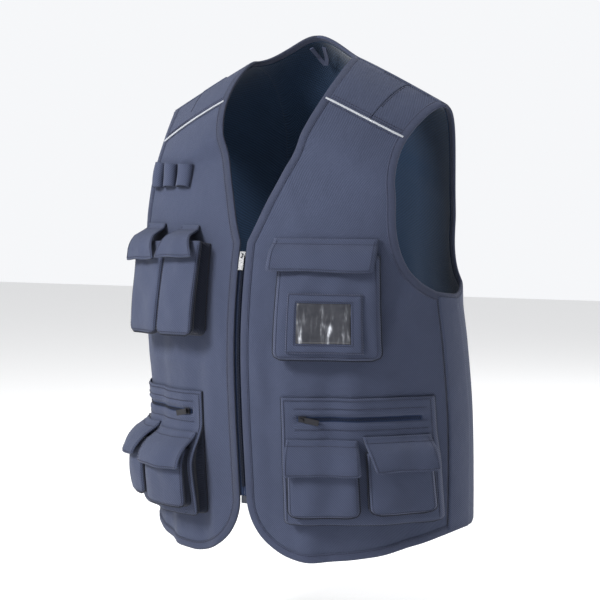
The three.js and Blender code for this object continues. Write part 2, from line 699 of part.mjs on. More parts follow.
// Mesh lining, a thin skin that lies just inside the cloth and stops at the bindings
const LINING_OUTER = -CLOTH - BINDING_PROUD - LINING_CLEARANCE;
function makeLinings() {
  const inner = LINING_OUTER - LINING_THICKNESS;
  const edges = sides.map(({ side }) => edgesFor(side, BINDING_WIDTH + EDGE_GAP));
  sides.forEach(({ name, side }, place) => {
    const grid = thin(frontGrid(edges[place], 0), 2, 2);
    addPiece(`lining_front_${name}`, clothSheet(side, grid, LINING_OUTER, inner), MESH_LINING);
  });
  const halves = edges.map((edge) => thin(backHalfGrid(edge, seamAngle), 2, 2));
  addPiece('lining_back', backSheet(halves[0], halves[1], LINING_OUTER, inner), MESH_LINING);
}

const evenly = (count) => Array.from({ length: count + 1 }, (_, step) => step / count);

// A block on a front panel between two x limits and two falls, given as functions of the share
// across and down, and between two depths out from the cloth. Its rows lie at shares of its height.
function panelBlock(side, columns, rows, shape) {
  const lay = (depth) => rows.map((down) => {
    return Array.from({ length: columns + 1 }, (__, column) => {
      const across = column / columns;
      const x = mix(shape.inner(down), shape.outer(down), across);
      return panelPoint(side, x, shape.fall(down, across), depth(down, across));
    });
  });
  return sheet(lay(shape.over), lay(shape.under));
}

const straight = (inner, outer, top, bottom, under, over) => ({
  inner: () => inner,
  outer: () => outer,
  fall: (down) => mix(top, bottom, down),
  under,
  over,
});

// A pocket bag: a block made hollow from the panel side, and open at the top where it has a mouth
function trayGeometry(side, box, columns, rows, over, openTop, holeTop, seat = () => POCKET_SEAT) {
  const fallShare = (fall) => (fall - box.top) / (box.bottom - box.top);
  const outer = solidOf(panelBlock(side, columns, rows, straight(box.inner, box.outer, box.top, box.bottom, seat, over)));
  const top = openTop ? box.top - POCKET_WALL * 3 : holeTop;
  const bottom = box.bottom - POCKET_WALL;
  const depthAt = (down, across) => over(Math.max(fallShare(mix(top, bottom, down)), 0), across) - POCKET_WALL;
  const hollowShape = straight(box.inner + POCKET_WALL, box.outer - POCKET_WALL, top, bottom,
    (down, across) => seat(Math.max(fallShare(mix(top, bottom, down)), 0), across) - POCKET_WALL, depthAt);
  return outer.subtract(solidOf(panelBlock(side, columns, rows, hollowShape)));
}

// A flap: flat along its sewn top, then standing out over the bag below
const FLAP_PROFILE = [
  { share: 0, out: 0 },
  { share: 0.18, out: 0.06 },
  { share: 0.45, out: 0.68 },
  { share: 1, out: 1 },
];
function flapGeometry(side, flap, base, columns, rows = evenly(4)) {
  const reach = (down, across) => base(down, across) + FLAP_THICKNESS
    + (flap.flare - base(1, across) - FLAP_THICKNESS) * between(FLAP_PROFILE, 'share', 'out', down);
  return panelBlock(side, columns, rows, {
    inner: (down) => mix(flap.inner, flap.lowerInner, down),
    outer: (down) => mix(flap.outer, flap.lowerOuter, down),
    fall: (down) => mix(flap.top, flap.bottom, down),
    over: reach,
    under: (down, across) => reach(down, across) - FLAP_THICKNESS,
  });
}

const seatDepth = () => POCKET_SEAT;

function makeChestLeft() {
  const over = (down) => mix(CHEST_LEFT.mouth, CHEST_LEFT.base, down);
  addPiece('chest_pocket_left_bag', geometryOf(trayGeometry(1, CHEST_LEFT, 7, evenly(3), over, true)), TWILL);
  addPiece('chest_pocket_left_flap', flapGeometry(1, CHEST_LEFT_FLAP, seatDepth, 7), TWILL);
  const onBag = (fall) => over((fall - CHEST_LEFT.top) / (CHEST_LEFT.bottom - CHEST_LEFT.top));
  const patchShape = (box, lift, thickness) => straight(box.inner, box.outer, box.top, box.bottom,
    (down) => onBag(mix(box.top, box.bottom, down)) + lift,
    (down) => onBag(mix(box.top, box.bottom, down)) + lift + thickness);
  const hole = {
    inner: WINDOW.inner + WINDOW_FRAME,
    outer: WINDOW.outer - WINDOW_FRAME,
    top: WINDOW.top + WINDOW_FRAME,
    bottom: WINDOW.bottom - WINDOW_FRAME,
  };
  const frame = solidOf(panelBlock(1, 6, evenly(3), patchShape(WINDOW, GAP, WINDOW_THICKNESS)));
  const cutter = solidOf(panelBlock(1, 4, evenly(2), patchShape(hole, -WINDOW_THICKNESS, WINDOW_THICKNESS * 3)));
  addPiece('window_patch', geometryOf(frame.subtract(cutter)), TWILL);
  const film = {
    inner: hole.inner + GAP,
    outer: hole.outer - GAP,
    top: hole.top + GAP,
    bottom: hole.bottom - GAP,
  };
  addPiece('window_film', panelBlock(1, 4, evenly(2), patchShape(film, GAP, FILM_THICKNESS)), FILM);
}

function makeChestRight() {
  const over = (down) => mix(CHEST_RIGHT.mouth, CHEST_RIGHT.base, down);
  const cells = [
    { name: 'inner', inner: CHEST_RIGHT.inner, outer: CHEST_RIGHT.split },
    { name: 'outer', inner: CHEST_RIGHT.split + GAP * 2, outer: CHEST_RIGHT.outer },
  ];
  for (const cell of cells) {
    const box = { ...CHEST_RIGHT, inner: cell.inner, outer: cell.outer };
    addPiece(`chest_pocket_right_bag_${cell.name}`, geometryOf(trayGeometry(-1, box, 4, evenly(3), over, true)), TWILL);
  }
  for (const flap of CHEST_RIGHT_FLAPS) {
    addPiece(`chest_pocket_right_flap_${flap.name}`, flapGeometry(-1, flap, () => GAP * 2, 4), TWILL);
  }
}

// A zip slider lies in its own axes: X across the zip, Y out of the cloth and Z along the zip. The
// tab's top bar runs along X through the bridge, at the origin.
const AXIS_OUT = TAB_THICKNESS / Math.SQRT2 + GAP;
const BRIDGE_HALF_HOLE = AXIS_OUT;
const BRIDGE_FOOT = BRIDGE_HALF_HOLE + GAP;
function sliderGeometry(width, length, turn) {
  const plate = new THREE.BoxGeometry(width, SLIDER_PLATE, length);
  plate.rotateY(turn * DEGREE);
  plate.translate(0, -AXIS_OUT - SLIDER_PLATE / 2, 0);
  const high = BRIDGE_HALF_HOLE + BRIDGE_WALL;
  const wide = BRIDGE_FOOT + BRIDGE_WALL;
  const sunk = -AXIS_OUT - SLIDER_PLATE / 2;
  const arch = new THREE.Shape([
    new THREE.Vector2(-wide, sunk), new THREE.Vector2(-wide, high - BRIDGE_WALL / 2),
    new THREE.Vector2(-wide + BRIDGE_WALL / 2, high), new THREE.Vector2(wide - BRIDGE_WALL / 2, high),
    new THREE.Vector2(wide, high - BRIDGE_WALL / 2), new THREE.Vector2(wide, sunk),
    new THREE.Vector2(BRIDGE_FOOT, sunk), new THREE.Vector2(BRIDGE_FOOT, BRIDGE_HALF_HOLE),
    new THREE.Vector2(-BRIDGE_FOOT, BRIDGE_HALF_HOLE), new THREE.Vector2(-BRIDGE_FOOT, sunk),
  ]);
  const bridge = new THREE.ExtrudeGeometry(arch, { depth: BRIDGE_WIDTH, bevelEnabled: false });
  bridge.translate(0, 0, -BRIDGE_WIDTH / 2);
  const turned = new THREE.Matrix4().makeBasis(
    new THREE.Vector3(0, 0, 1), new THREE.Vector3(0, 1, 0), new THREE.Vector3(-1, 0, 0));
  bridge.applyMatrix4(turned);
  return geometryOf(solidOf(plate).add(solidOf(bridge)));
}

// A pull tab: a ring around the bridge with a long plate below it, hanging along -Z from its top bar
function tabGeometry(width, length) {
  const half = width / 2;
  const top = TAB_THICKNESS / 2;
  const foot = BRIDGE_FOOT + BRIDGE_WALL;
  const window = Math.hypot(foot, BRIDGE_HALF_HOLE + BRIDGE_WALL) + GAP;
  const shoulder = window * 0.8;
  const inside = BRIDGE_WIDTH / 2 + GAP + 0.1;
  const taper = width * 0.12;
  const outline = new THREE.Shape([
    new THREE.Vector2(-half + taper, top), new THREE.Vector2(half - taper, top),
    new THREE.Vector2(half, -shoulder), new THREE.Vector2(half, -length + taper),
    new THREE.Vector2(half - taper, -length + top), new THREE.Vector2(-half + taper, -length + top),
    new THREE.Vector2(-half, -length + taper), new THREE.Vector2(-half, -shoulder),
  ]);
  outline.holes.push(new THREE.Path([
    new THREE.Vector2(-inside, -top), new THREE.Vector2(-inside, -window),
    new THREE.Vector2(inside, -window), new THREE.Vector2(inside, -top),
  ]));
  const tab = new THREE.ExtrudeGeometry(outline, { depth: TAB_THICKNESS, bevelEnabled: false });
  tab.translate(0, 0, -TAB_THICKNESS / 2);
  tab.applyMatrix4(new THREE.Matrix4().makeBasis(
    new THREE.Vector3(1, 0, 0), new THREE.Vector3(0, 0, 1), new THREE.Vector3(0, -1, 0)));
  return geometryOf(solidOf(tab));
}

// Axes on a front panel: X across the cloth towards +X, Y out of it, and Z up, turned by a lean
function panelAxes(side, x, fall, out, lean) {
  const spot = spotAt(x, -fall);
  const normal = formNormal(side, spot.around, spot.down);
  const up = new THREE.Vector3(0, 0, 1).addScaledVector(normal, -normal.z).normalize();
  const across = normal.clone().cross(up).normalize();
  const matrix = new THREE.Matrix4().makeBasis(across, normal, up);
  matrix.multiply(new THREE.Matrix4().makeRotationY(lean * DEGREE));
  matrix.setPosition(offsetPoint(side, spot, out));
  return matrix;
}

// Lower pockets: a bellows patch with a zip slot, two bags with flaps on it, and the zip
const PATCH_ROWS = [0, 0.12, 0.24, 0.33, 0.44, 0.56, 0.7, 0.85, 1];
const MOUTH_SHARE = 0.6;
function patchProfile(form) {
  return [
    { share: 0, out: LOWER_SHEET },
    { share: 0.24, out: LOWER_SHEET },
    { share: 0.4, out: mix(LOWER_SHEET, form.belly, 0.8) },
    { share: 0.62, out: form.belly },
    { share: 1, out: form.foot },
  ];
}

function makeLowerPocket(form) {
  const { name, side } = form;
  const profile = patchProfile(form);
  const span = LOWER_PATCH.bottom - LOWER_PATCH.top;
  const levels = PATCH_ROWS.map((share) => POCKET_SEAT + between(profile, 'share', 'out', share));
  const face = (down) => {
    const above = Math.max(PATCH_ROWS.findLastIndex((share) => share <= down), 0);
    const row = Math.min(above, PATCH_ROWS.length - 2);
    return mix(levels[row], levels[row + 1], (down - PATCH_ROWS[row]) / (PATCH_ROWS[row + 1] - PATCH_ROWS[row]));
  };
  const faceAt = (fall) => face((fall - LOWER_PATCH.top) / span);
  const rowsOn = (top, bottom) => {
    const inside = PATCH_ROWS.map((share) => LOWER_PATCH.top + share * span).filter((fall) => fall > top + 2 && fall < bottom - 2);
    return [top, ...inside, bottom].map((fall) => (fall - top) / (bottom - top));
  };
  const hollowTop = LOWER_SLOT.bottom + span * 0.07;
  const body = trayGeometry(side, LOWER_PATCH, 8, PATCH_ROWS, face, false, hollowTop);
  const slot = panelBlock(side, 8, evenly(1), straight(LOWER_SLOT.inner, LOWER_SLOT.outer, LOWER_SLOT.top, LOWER_SLOT.bottom,
    () => -LOWER_SHEET, () => LOWER_SHEET * 2 + POCKET_SEAT));
  addPiece(`lower_pocket_${name}_patch`, geometryOf(body.subtract(solidOf(slot))), TWILL);

  const tapeTop = POCKET_SEAT + TAPE_THICKNESS;
  addPiece(`lower_pocket_${name}_tape`, panelBlock(side, 8, evenly(1), straight(
    LOWER_SLOT.inner + GAP, LOWER_SLOT.outer - GAP, LOWER_SLOT.top + GAP, LOWER_SLOT.bottom - GAP,
    () => POCKET_SEAT, () => tapeTop)), ZIP_TAPE);

  for (const bag of LOWER_BAGS) {
    const seat = (down) => faceAt(mix(bag.top, bag.bottom, down)) + POCKET_SEAT;
    const over = (down) => seat(down) + mix(form.bag * MOUTH_SHARE, form.bag, down);
    const columns = Math.ceil((bag.outer - bag.inner) / 15);
    addPiece(`lower_pocket_${name}_bag_${bag.name}`,
      geometryOf(trayGeometry(side, bag, columns, rowsOn(bag.top, bag.bottom), over, true, 0, seat)), TWILL);
    const flap = {
      inner: bag.inner - LOWER_FLAP_OVERHANG,
      outer: bag.outer + LOWER_FLAP_OVERHANG,
      lowerInner: bag.inner - LOWER_FLAP_OVERHANG + bag.slant,
      lowerOuter: bag.outer + LOWER_FLAP_OVERHANG,
      top: bag.flapTop,
      bottom: bag.flapBottom,
      flare: form.flare,
    };
    const base = (down) => faceAt(mix(flap.top, flap.bottom, down)) + POCKET_SEAT;
    const rows = rowsOn(flap.top, flap.bottom);
    addPiece(`lower_pocket_${name}_flap_${bag.name}`, flapGeometry(side, flap, base, columns, rows), TWILL);
  }

  const sliderX = LOWER_SLOT.inner + POCKET_SLIDER_LENGTH / 2 + 2;
  const sliderFall = (LOWER_SLOT.top + LOWER_SLOT.bottom) / 2;
  const out = tapeTop + GAP + SLIDER_PLATE + AXIS_OUT;
  const axes = panelAxes(side, sliderX, sliderFall, out, side * POCKET_TAB_LEAN);
  const plateTurn = side * (90 - POCKET_TAB_LEAN);
  const slider = addPiece(`lower_pocket_${name}_slider`,
    sliderGeometry(POCKET_SLIDER_WIDTH, POCKET_SLIDER_LENGTH, plateTurn), BLACK_METAL);
  slider.applyMatrix4(axes);
  const pull = addPiece(`lower_pocket_${name}_pull`, tabGeometry(TAB_WIDTH, POCKET_TAB_LENGTH), BLACK_METAL);
  pull.applyMatrix4(axes);
}
function makePenLoops() {
  PEN_LOOPS.forEach((loop, place) => {
    const span = loop.outer - loop.inner;
    const steps = 6;
    const lay = (shrink) => evenly(2).map((down) => Array.from({ length: steps + 1 }, (_, step) => {
      const turn = Math.PI * step / steps;
      const x = (loop.inner + loop.outer) / 2 - (span / 2 - shrink) * Math.cos(turn);
      const out = PEN_LOOP_SEAT + (PEN_LOOP_RISE - shrink) * Math.sin(turn);
      return panelPoint(-1, x, PEN_LOOP_TOP + PEN_LOOP_HEIGHT * down, out);
    }));
    addPiece(`pen_loop_${place + 1}`, sheet(lay(0), lay(PEN_LOOP_WALL)), TWILL);
  });
}

// A narrow tape that hangs inside the back neck in a V
function makeHangerLoop() {
  const neckDown = Math.abs(neckBackEdge[0].down);
  const out = LINING_OUTER - LINING_THICKNESS - HANGER_CLEARANCE - HANGER_THICKNESS;
  const start = formPoint(1, 0, -neckDown);
  const top = start.z - BINDING_WIDTH * 0.6;
  const path = [-1, -0.55, -0.15, 0.15, 0.55, 1].map((share) => {
    const fall = 1 - Math.abs(share);
    return { x: share * HANGER_HALF_WIDTH, z: top - HANGER_DROP * fall ** 0.8 };
  });
  const spots = path.map((place) => {
    let down = neckDown;
    while (formPoint(1, aroundAt(Math.abs(place.x), -down), -down).z > place.z) down += 0.2;
    const spot = { around: aroundAt(Math.abs(place.x), -down), down: -down };
    const side = place.x < 0 ? -1 : 1;
    return { point: formPoint(side, spot.around, spot.down), normal: formNormal(side, spot.around, spot.down) };
  });
  const sections = spots.map((spot, place) => {
    const before = spots[Math.max(place - 1, 0)].point;
    const after = spots[Math.min(place + 1, spots.length - 1)].point;
    const run = after.clone().sub(before).normalize();
    const width = spot.normal.clone().cross(run).normalize().multiplyScalar(HANGER_TAPE_WIDTH / 2);
    const at = (sideways, depth) => spot.point.clone().addScaledVector(spot.normal, depth).addScaledVector(width, sideways);
    return [at(1, out), at(-1, out), at(-1, out + HANGER_THICKNESS), at(1, out + HANGER_THICKNESS)];
  });
  addPiece('hanger_loop', bar(sections, false), BINDING);
}

// Front zip: two tapes with a raised chain along their meeting edges, a box at the foot, and a slider
function makeFrontZip() {
  const topFall = -formPoint(1, 1, ZIP_TOP).z;
  const bottomFall = -formPoint(1, 1, HEM_CORNER_TOP).z;
  const rows = [...FRONT_INNER_ROWS.filter((down) => down >= ZIP_TOP), HEM_CORNER_TOP];
  const tapeFace = -CLOTH - BINDING_PROUD * 0.75 - GAP * 1.5;
  const chainFace = tapeFace + ZIP_CHAIN_PROUD;
  const tapeBack = tapeFace - TAPE_THICKNESS;
  for (const { name, side } of sides) {
    const sections = rows.map((down) => {
      const at = (x, out) => offsetPoint(side, { around: aroundAt(x, down), down }, out);
      return [
        at(GAP / 2, tapeBack), at(GAP / 2, chainFace), at(ZIP_CHAIN_HALF_WIDTH, chainFace),
        at(ZIP_CHAIN_HALF_WIDTH, tapeFace), at(ZIP_TAPE_HALF_WIDTH, tapeFace), at(ZIP_TAPE_HALF_WIDTH, tapeBack),
      ];
    });
    addPiece(`zip_${name}`, zipGeometry(sections), ZIP_TAPE);
  }
  const middle = (fall, out) => {
    const point = panelPoint(1, 0.01, fall, out);
    return new THREE.Vector3(0, point.y, point.z);
  };
  const boxHeight = SLIDER_LENGTH * 0.9;
  const boxDepth = chainFace - tapeBack;
  const box = new THREE.BoxGeometry(SLIDER_WIDTH, boxDepth, boxHeight);
  const boxPiece = addPiece('zip_box', geometryOf(solidOf(box)), STEEL);
  boxPiece.position.copy(middle(bottomFall + GAP + boxHeight / 2, (chainFace + tapeBack) / 2));

  const sliderFall = topFall + SLIDER_LENGTH / 2;
  const out = chainFace + GAP + SLIDER_PLATE + AXIS_OUT;
  const above = middle(sliderFall - SLIDER_LENGTH / 2, out);
  const below = middle(sliderFall + SLIDER_LENGTH, out);
  const up = above.clone().sub(below).normalize();
  const across = new THREE.Vector3(-1, 0, 0);
  const normal = up.clone().cross(across).normalize();
  const axes = new THREE.Matrix4().makeBasis(across, normal, up);
  axes.setPosition(middle(sliderFall, out));
  addPiece('zip_slider', sliderGeometry(SLIDER_WIDTH, SLIDER_LENGTH, 0), STEEL).applyMatrix4(axes);
  addPiece('zip_pull', tabGeometry(TAB_WIDTH, TAB_LENGTH), STEEL).applyMatrix4(axes);
}

// The zip's section is an L, so its ends are closed in two pieces: the chain and the tape
function zipGeometry(sections) {
  const corners = sections[0].length;
  const points = sections.flat();
  const triangles = [];
  for (let step = 0; step < sections.length - 1; step += 1) {
    for (let corner = 0; corner < corners; corner += 1) {
      const turn = (corner + 1) % corners;
      const a = step * corners + corner;
      const b = step * corners + turn;
      const c = (step + 1) * corners + turn;
      const d = (step + 1) * corners + corner;
      triangles.push([a, b, c], [a, c, d]);
    }
  }
  const caps = [[0, 1, 3], [1, 2, 3], [0, 3, 4], [0, 4, 5]];
  const end = (sections.length - 1) * corners;
  for (const [a, b, c] of caps) {
    triangles.push([a, c, b]);
    triangles.push([end + a, end + b, end + c]);
  }
  return closedGeometry(points, triangles);
}

sides.forEach(makeFront);
makeBack();
makeBindings();
makeLinings();
makeHangerLoop();
makePenLoops();
makeChestLeft();
makeChestRight();
LOWER_SIDES.forEach(makeLowerPocket);
makeFrontZip();

export default vest;
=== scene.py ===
"""A sleeveless utility work vest in its worn shape, with its cloth, trims, pockets, zips and stitching."""
import json
import math

import bpy
import numpy as np
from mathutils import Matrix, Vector


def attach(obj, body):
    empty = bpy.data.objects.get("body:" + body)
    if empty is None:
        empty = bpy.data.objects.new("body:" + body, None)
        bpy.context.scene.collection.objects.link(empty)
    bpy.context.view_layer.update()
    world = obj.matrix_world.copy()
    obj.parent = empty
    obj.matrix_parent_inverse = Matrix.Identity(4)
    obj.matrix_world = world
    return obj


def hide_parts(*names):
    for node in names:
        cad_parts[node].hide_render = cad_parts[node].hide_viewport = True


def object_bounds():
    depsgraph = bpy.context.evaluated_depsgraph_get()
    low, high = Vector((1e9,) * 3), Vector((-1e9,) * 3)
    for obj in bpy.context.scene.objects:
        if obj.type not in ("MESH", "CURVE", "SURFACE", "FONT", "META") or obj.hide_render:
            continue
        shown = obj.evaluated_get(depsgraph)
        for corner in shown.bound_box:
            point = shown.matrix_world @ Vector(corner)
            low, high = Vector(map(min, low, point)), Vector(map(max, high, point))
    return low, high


bl_info = {
    "name": "Utility Work Vest",
    "version": (1, 0, 0),
    "blender": (4, 5, 0),
    "location": "View3D > Sidebar > Work Vest",
    "description": "Builds a utility work vest over its measured frame",
    "category": "Object",
}

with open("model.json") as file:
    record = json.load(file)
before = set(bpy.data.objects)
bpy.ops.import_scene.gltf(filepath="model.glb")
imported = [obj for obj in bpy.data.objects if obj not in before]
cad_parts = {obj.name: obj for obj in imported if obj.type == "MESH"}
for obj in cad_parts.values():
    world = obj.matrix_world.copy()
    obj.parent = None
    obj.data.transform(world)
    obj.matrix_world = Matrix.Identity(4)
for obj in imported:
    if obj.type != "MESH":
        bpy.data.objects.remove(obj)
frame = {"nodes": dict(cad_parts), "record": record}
CAD_LOW, CAD_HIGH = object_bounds()
MM = 0.001

# The form of the worn vest, in millimetres, the same as the frame's
CHEST_HALF_WIDTH = 228.0
FRONT_DEPTH = 166.0
BACK_DEPTH = 154.0
FRONT_LENGTH = 632.0
SIDE_LENGTH = 598.0
BACK_LENGTH = 600.0
NECK_HALF_WIDTH = 74.0
SHOULDER_HALF_WIDTH = 226.0
SHOULDER_DROP = 76.0
SHOULDER_FORWARD = 6.0
FRONT_CAP_DROP = 152.0
BACK_CAP_DROP = 140.0
BACK_NECK_RISE = 19.0
HEM_CORNER_RADIUS = 85.0
ROUNDNESS = 1.92
SHOULDER_ROUND = 50.0
CHEST_SLOPE_SHARE = 0.75
CHEST_SLOPE_POWER = 1.96
BACK_CAP_POWER = 0.85
BACK_CAP_FULLNESS = 0.55
FOOT_BLEND = 18.0
CAP_FOOT = 90.0
HEM = 255.0
SIDE_SEAM = 75.0
ZIP_HALF_OPENING = 5.0
ZIP_TOP = 128.0
HEM_CORNER_TOP = 229.0
CLOTH = 2.0
BINDING_WIDTH = 11.0
WAY_LENGTH = 2.6

# First guesses when a place on the front is looked for
GUESS_HALF_WIDTH = 236
GUESS_FALL = 168
GUESS_FALL_PER_WAY = 2.8
LAST_WAY = 268

# Height down the front, half width, front, side and back lines, as shares
SECTION_TABLE = np.array([
    [0.19, 1.06, 0.68, -0.24, 0.57],
    [0.32, 1.025, 0.872, -0.205, 0.64],
    [0.445, 0.99, 0.975, -0.13, 0.72],
    [0.57, 0.998, 1.02, -0.006, 0.812],
    [0.71, 0.994, 1.0, 0.12, 0.907],
    [0.87, 0.985, 0.945, 0.17, 0.995],
    [1.045, 0.973, 0.895, 0.19, 1.078],
])
NECK_FRONT = np.array([[0, 1.0], [25, 1.02], [40, 1.0], [55, 0.935], [72, 0.79], [90, 0.575],
                       [105, 0.355], [118, 0.17], [128, 0.0]])
NECK_BACK = np.array([[0, 1.0], [3, 0.975], [8, 0.86], [12.5, 0.66], [16, 0.4], [18, 0.0]])
ARMHOLE_FRONT = np.array([[0, 66.2], [14, 62.8], [29, 58.9], [43, 55.2], [55, 52.6], [67, 51.6], [81, 52],
                          [93, 53.0], [103.5, 55.8], [112.5, 60.6], [118, 66.8], [121.3, 75]])
ARMHOLE_BACK = np.array([[0, 66.2], [14, 66], [30, 65], [50, 63.5], [70, 62], [85, 61], [100, 60.6],
                         [108, 61.8], [114, 65.5], [118.5, 72.5], [121, 81], [122, 90]])

# Stations down each edge, where the frame's rows end. FINE divides each step between them.
FINE = 8
YOKE_ROWS = [0.6, 13, 26, 39, 50.4]
FRONT_ROWS = [51.6, 63, 75, 87, 98, 109, 119, 128, 143, 158, 174, 190, 206, 219]
ARM_FRONT_ROWS = [51.6, 60, 70, 80, 90, 99, 107, 113.5, 118]
SEAM_ROWS = [121.3, 133, 147, 163, 180, 198, 216, 232, 245, 255]
ARM_BACK_ROWS = [0.2, 15, 31, 47, 62, 77, 91, 102, 110, 116, 120.3, 122]
BACK_MIDDLE_ROWS = [31, 43, 55, 67, 80, 93, 106, 118, 129, 139, 149, 158, 166, 175, 185, 196, 208, 220,
                    232, 244]
NECK_BACK_ROWS = [18, 17.2, 14.5, 10, 5, 0.2]
CORNER_STEPS = 4
FRONT_COLUMNS = [0, 0.14, 0.27, 0.4, 0.54, 0.66, 0.78, 0.89, 1]
YOKE_SPLIT = 4
YOKE_END = (len(YOKE_ROWS) - 1) * FINE
FRONT_START = len(YOKE_ROWS) * FINE
BACK_NECK_SHARE = 0.29
BACK_SHOULDER_STEPS = 6

# Folds of the worn cloth: wearer's side, front or back, then millimetres: across, down, length, width;
# lean from upright in degrees, and height
FRONT, BACK = 0, 1
FOLDS = [
    (1, FRONT, 82, 632, 46, 36, -6, 3.3),
    (-1, FRONT, 91, 632, 46, 36, 8, 3.3),
    (1, FRONT, 196, 300, 60, 7, 24, 2.2),
    (1, FRONT, 184, 345, 70, 8, 10, 1.8),
    (1, FRONT, 30, 395, 60, 9, -10, 1.6),
    (1, FRONT, 120, 402, 8, 60, 0, 1.6),
    (-1, FRONT, 30, 330, 70, 8, 8, 1.8),
    (-1, FRONT, 110, 388, 9, 60, 0, 2.0),
    (1, FRONT, 52, 170, 60, 9, -26, 1.2),
    (1, BACK, 190, 330, 90, 10, 28, 3.0),
    (1, BACK, 150, 470, 90, 14, 12, 3.0),
    (-1, BACK, 190, 330, 90, 10, 28, 3.0),
    (-1, BACK, 150, 470, 90, 14, 12, 3.0),
    (1, BACK, 60, 300, 130, 16, 6, 2.0),
    (-1, BACK, 70, 360, 130, 16, -6, 2.0),
]
DRAPE_HEIGHT = 2.0
FINE_DRAPE_HEIGHT = 0.8
DRAPE_FALLS = (150, 480)
DRAPE_REACH = (14, 60)
SEAM_X = 205
SEAM_CALM = 18

# Pockets and trims, in millimetres from the middle, down from the origin, and out from the cloth
CHEST_LEFT = dict(inner=54, outer=168, top=250, bottom=376, mouth=8, base=17)
CHEST_LEFT_FLAP = dict(inner=43, outer=168, low_inner=42, low_outer=161, top=230, bottom=271, flare=18)
WINDOW = dict(inner=70, outer=151, top=297, bottom=368)
WINDOW_FRAME = 11.5
CHEST_RIGHT = dict(inner=50, outer=168, split=107, top=238, bottom=352, mouth=23, base=31)
CHEST_RIGHT_FLAPS = [
    dict(name="inner", inner=73, outer=100, low_inner=50, low_outer=111, top=215, bottom=259, flare=37),
    dict(name="outer", inner=137, outer=172, low_inner=112.5, low_outer=168, top=213, bottom=261, flare=37),
]
PATCH = dict(inner=59, outer=211, top=424, bottom=581)
SLOT = dict(inner=77, outer=202, top=442, bottom=459)
SHEET_LIFT = 3.3
LOWER_BAGS = [
    dict(name="inner", inner=67, outer=140, top=494, bottom=569, flap_top=475, flap_bottom=517, slant=0),
    dict(name="outer", inner=150, outer=203, top=490, bottom=566, flap_top=471, flap_bottom=513, slant=9),
]
LOWER_SIDES = [
    dict(name="left", side=1, belly=9, foot=11, bag=13, flare=28),
    dict(name="right", side=-1, belly=25, foot=20, bag=14, flare=46),
]
PEN_LOOPS = [(101, 124), (128, 148), (152, 170)]
PEN_LOOP_TOP = 137
PEN_LOOP_HEIGHT = 30
SIDES = (("left", 1), ("right", -1))

# Lifts and edges of the pieces, in millimetres
SEAT = 0.9
WINDOW_LIFT = 2.5
WELT = 3.0
WELT_FOLD = 1.5
OVERHANG = 2.5
MOUTH_SHARE = 0.6
PATCH_CORNER = 7.0
BAG_CORNER = 9.0
BAG_STEPS = 30
BAG_ROLL = 1.6
BAG_PILLOW = 1.5
BAG_CLOTH = 1.3
BAG_SEAMS = (8, 12)
FLAP_CORNER = 2.0
FLAP_ROWS = 18
FLAP_COLUMNS = 28
FLAP_SEAT = 2.2
FLAP_CLOTH = 2.2
FLAP_PROFILE = ((0, 0.12, 0.36, 0.7, 1), (0, 0.05, 0.66, 0.9, 1))
PANEL_TUCK = 5.0
LINING_TUCK = 9.0
LINING_OUT = -3.6
LINING_CLOTH = 0.7
PIPING_HALF_WIDTH = 1.5
PIPING_HALF_HEIGHT = 1.15
BINDING_PROFILE = [(1.0, -1.6), (1.0, 0.2), (0.975, 0.8), (0.9, 1.0), (0.83, 0.7), (0.76, 1.1), (0.45, 1.25),
                   (0.15, 1.05), (0.02, 0.5), (-0.04, -0.9), (0.02, -2.3), (0.2, -3.0), (0.7, -3.1),
                   (0.97, -2.7)]

# Cut sizes of the cloths, and the least share of one that a mesh may have
FRONT_FLAT = (262, 590)
YOKE_FLAT = (90, 125)
BACK_FLAT = (640, 700)
FRONT_LINING_FLAT = (262, 650)
BACK_LINING_FLAT = (630, 690)
PATCH_FLAT = (168, 172)
LEAST_AREA_SHARE = 0.31

# The gussets' painted shade: the cloth's colour darkened to this share, for the shade in the pleats
GUSSET_PAINTED_SHADE = 0.3

# Stitches and zip teeth: eight corners each, from a profile of four, and sizes along, across and out
STITCH_PROFILE = ((-0.5, -0.3), (-0.35, 0.8), (0.35, 0.8), (0.5, -0.3))
BLOCK_PROFILE = ((-0.5, -0.5), (-0.38, 0.5), (0.38, 0.5), (0.5, -0.5))
BLOCK_FACES = np.array([[0, 1, 5, 4], [1, 2, 6, 5], [2, 3, 7, 6], [3, 0, 4, 7], [3, 2, 1, 0], [4, 5, 6, 7]])
STITCH_WIDTH = 0.75
STITCH_HEIGHT = 0.55
STITCH_LIFT = 0.15
TOP_SEAM_ROW = 3
COIL_SIZE = (1.1, 1.7, 0.7)
TOOTH_SIZE = (1.15, 2.6, 1.9)
TOOTH_PITCH = 1.9

# The stage, in metres and degrees
FLOOR_GLOW = 0.22
FLOOR_SIZE = 14
FLOOR_DROP = 0.12
LIGHT_AIM = Vector((0, 0, -0.3))
CAMERA_LENS = 107.5
CAMERA_SHIFT = (-0.0103, 0.0065)
VIEW_AZIMUTH = 30.36
VIEW_ELEVATION = 3.55
VIEW_DISTANCE = 2.363
VIEW_CENTRE = Vector((0, 0, -0.32))


def blend_column(table, column, place):
    """A table's column at places between its rows, on a smooth curve through the rows."""
    keys = table[:, 0]
    values = table[:, column]
    last = len(keys) - 1
    row = np.clip(np.searchsorted(keys, place, side="left") - 1, 0, last - 1)
    span = keys[row + 1] - keys[row]
    share = np.clip((place - keys[row]) / span, 0, 1)
    before = np.maximum(row - 1, 0)
    after = np.minimum(row + 2, last)
    start = (values[row + 1] - values[before]) / (keys[row + 1] - keys[before]) * span
    end = (values[after] - values[row]) / (keys[after] - keys[row]) * span
    squared = share * share
    cubed = squared * share
    return ((2 * cubed - 3 * squared + 1) * values[row] + (cubed - 2 * squared + share) * start
            + (3 * squared - 2 * cubed) * values[row + 1] + (cubed - squared) * end)


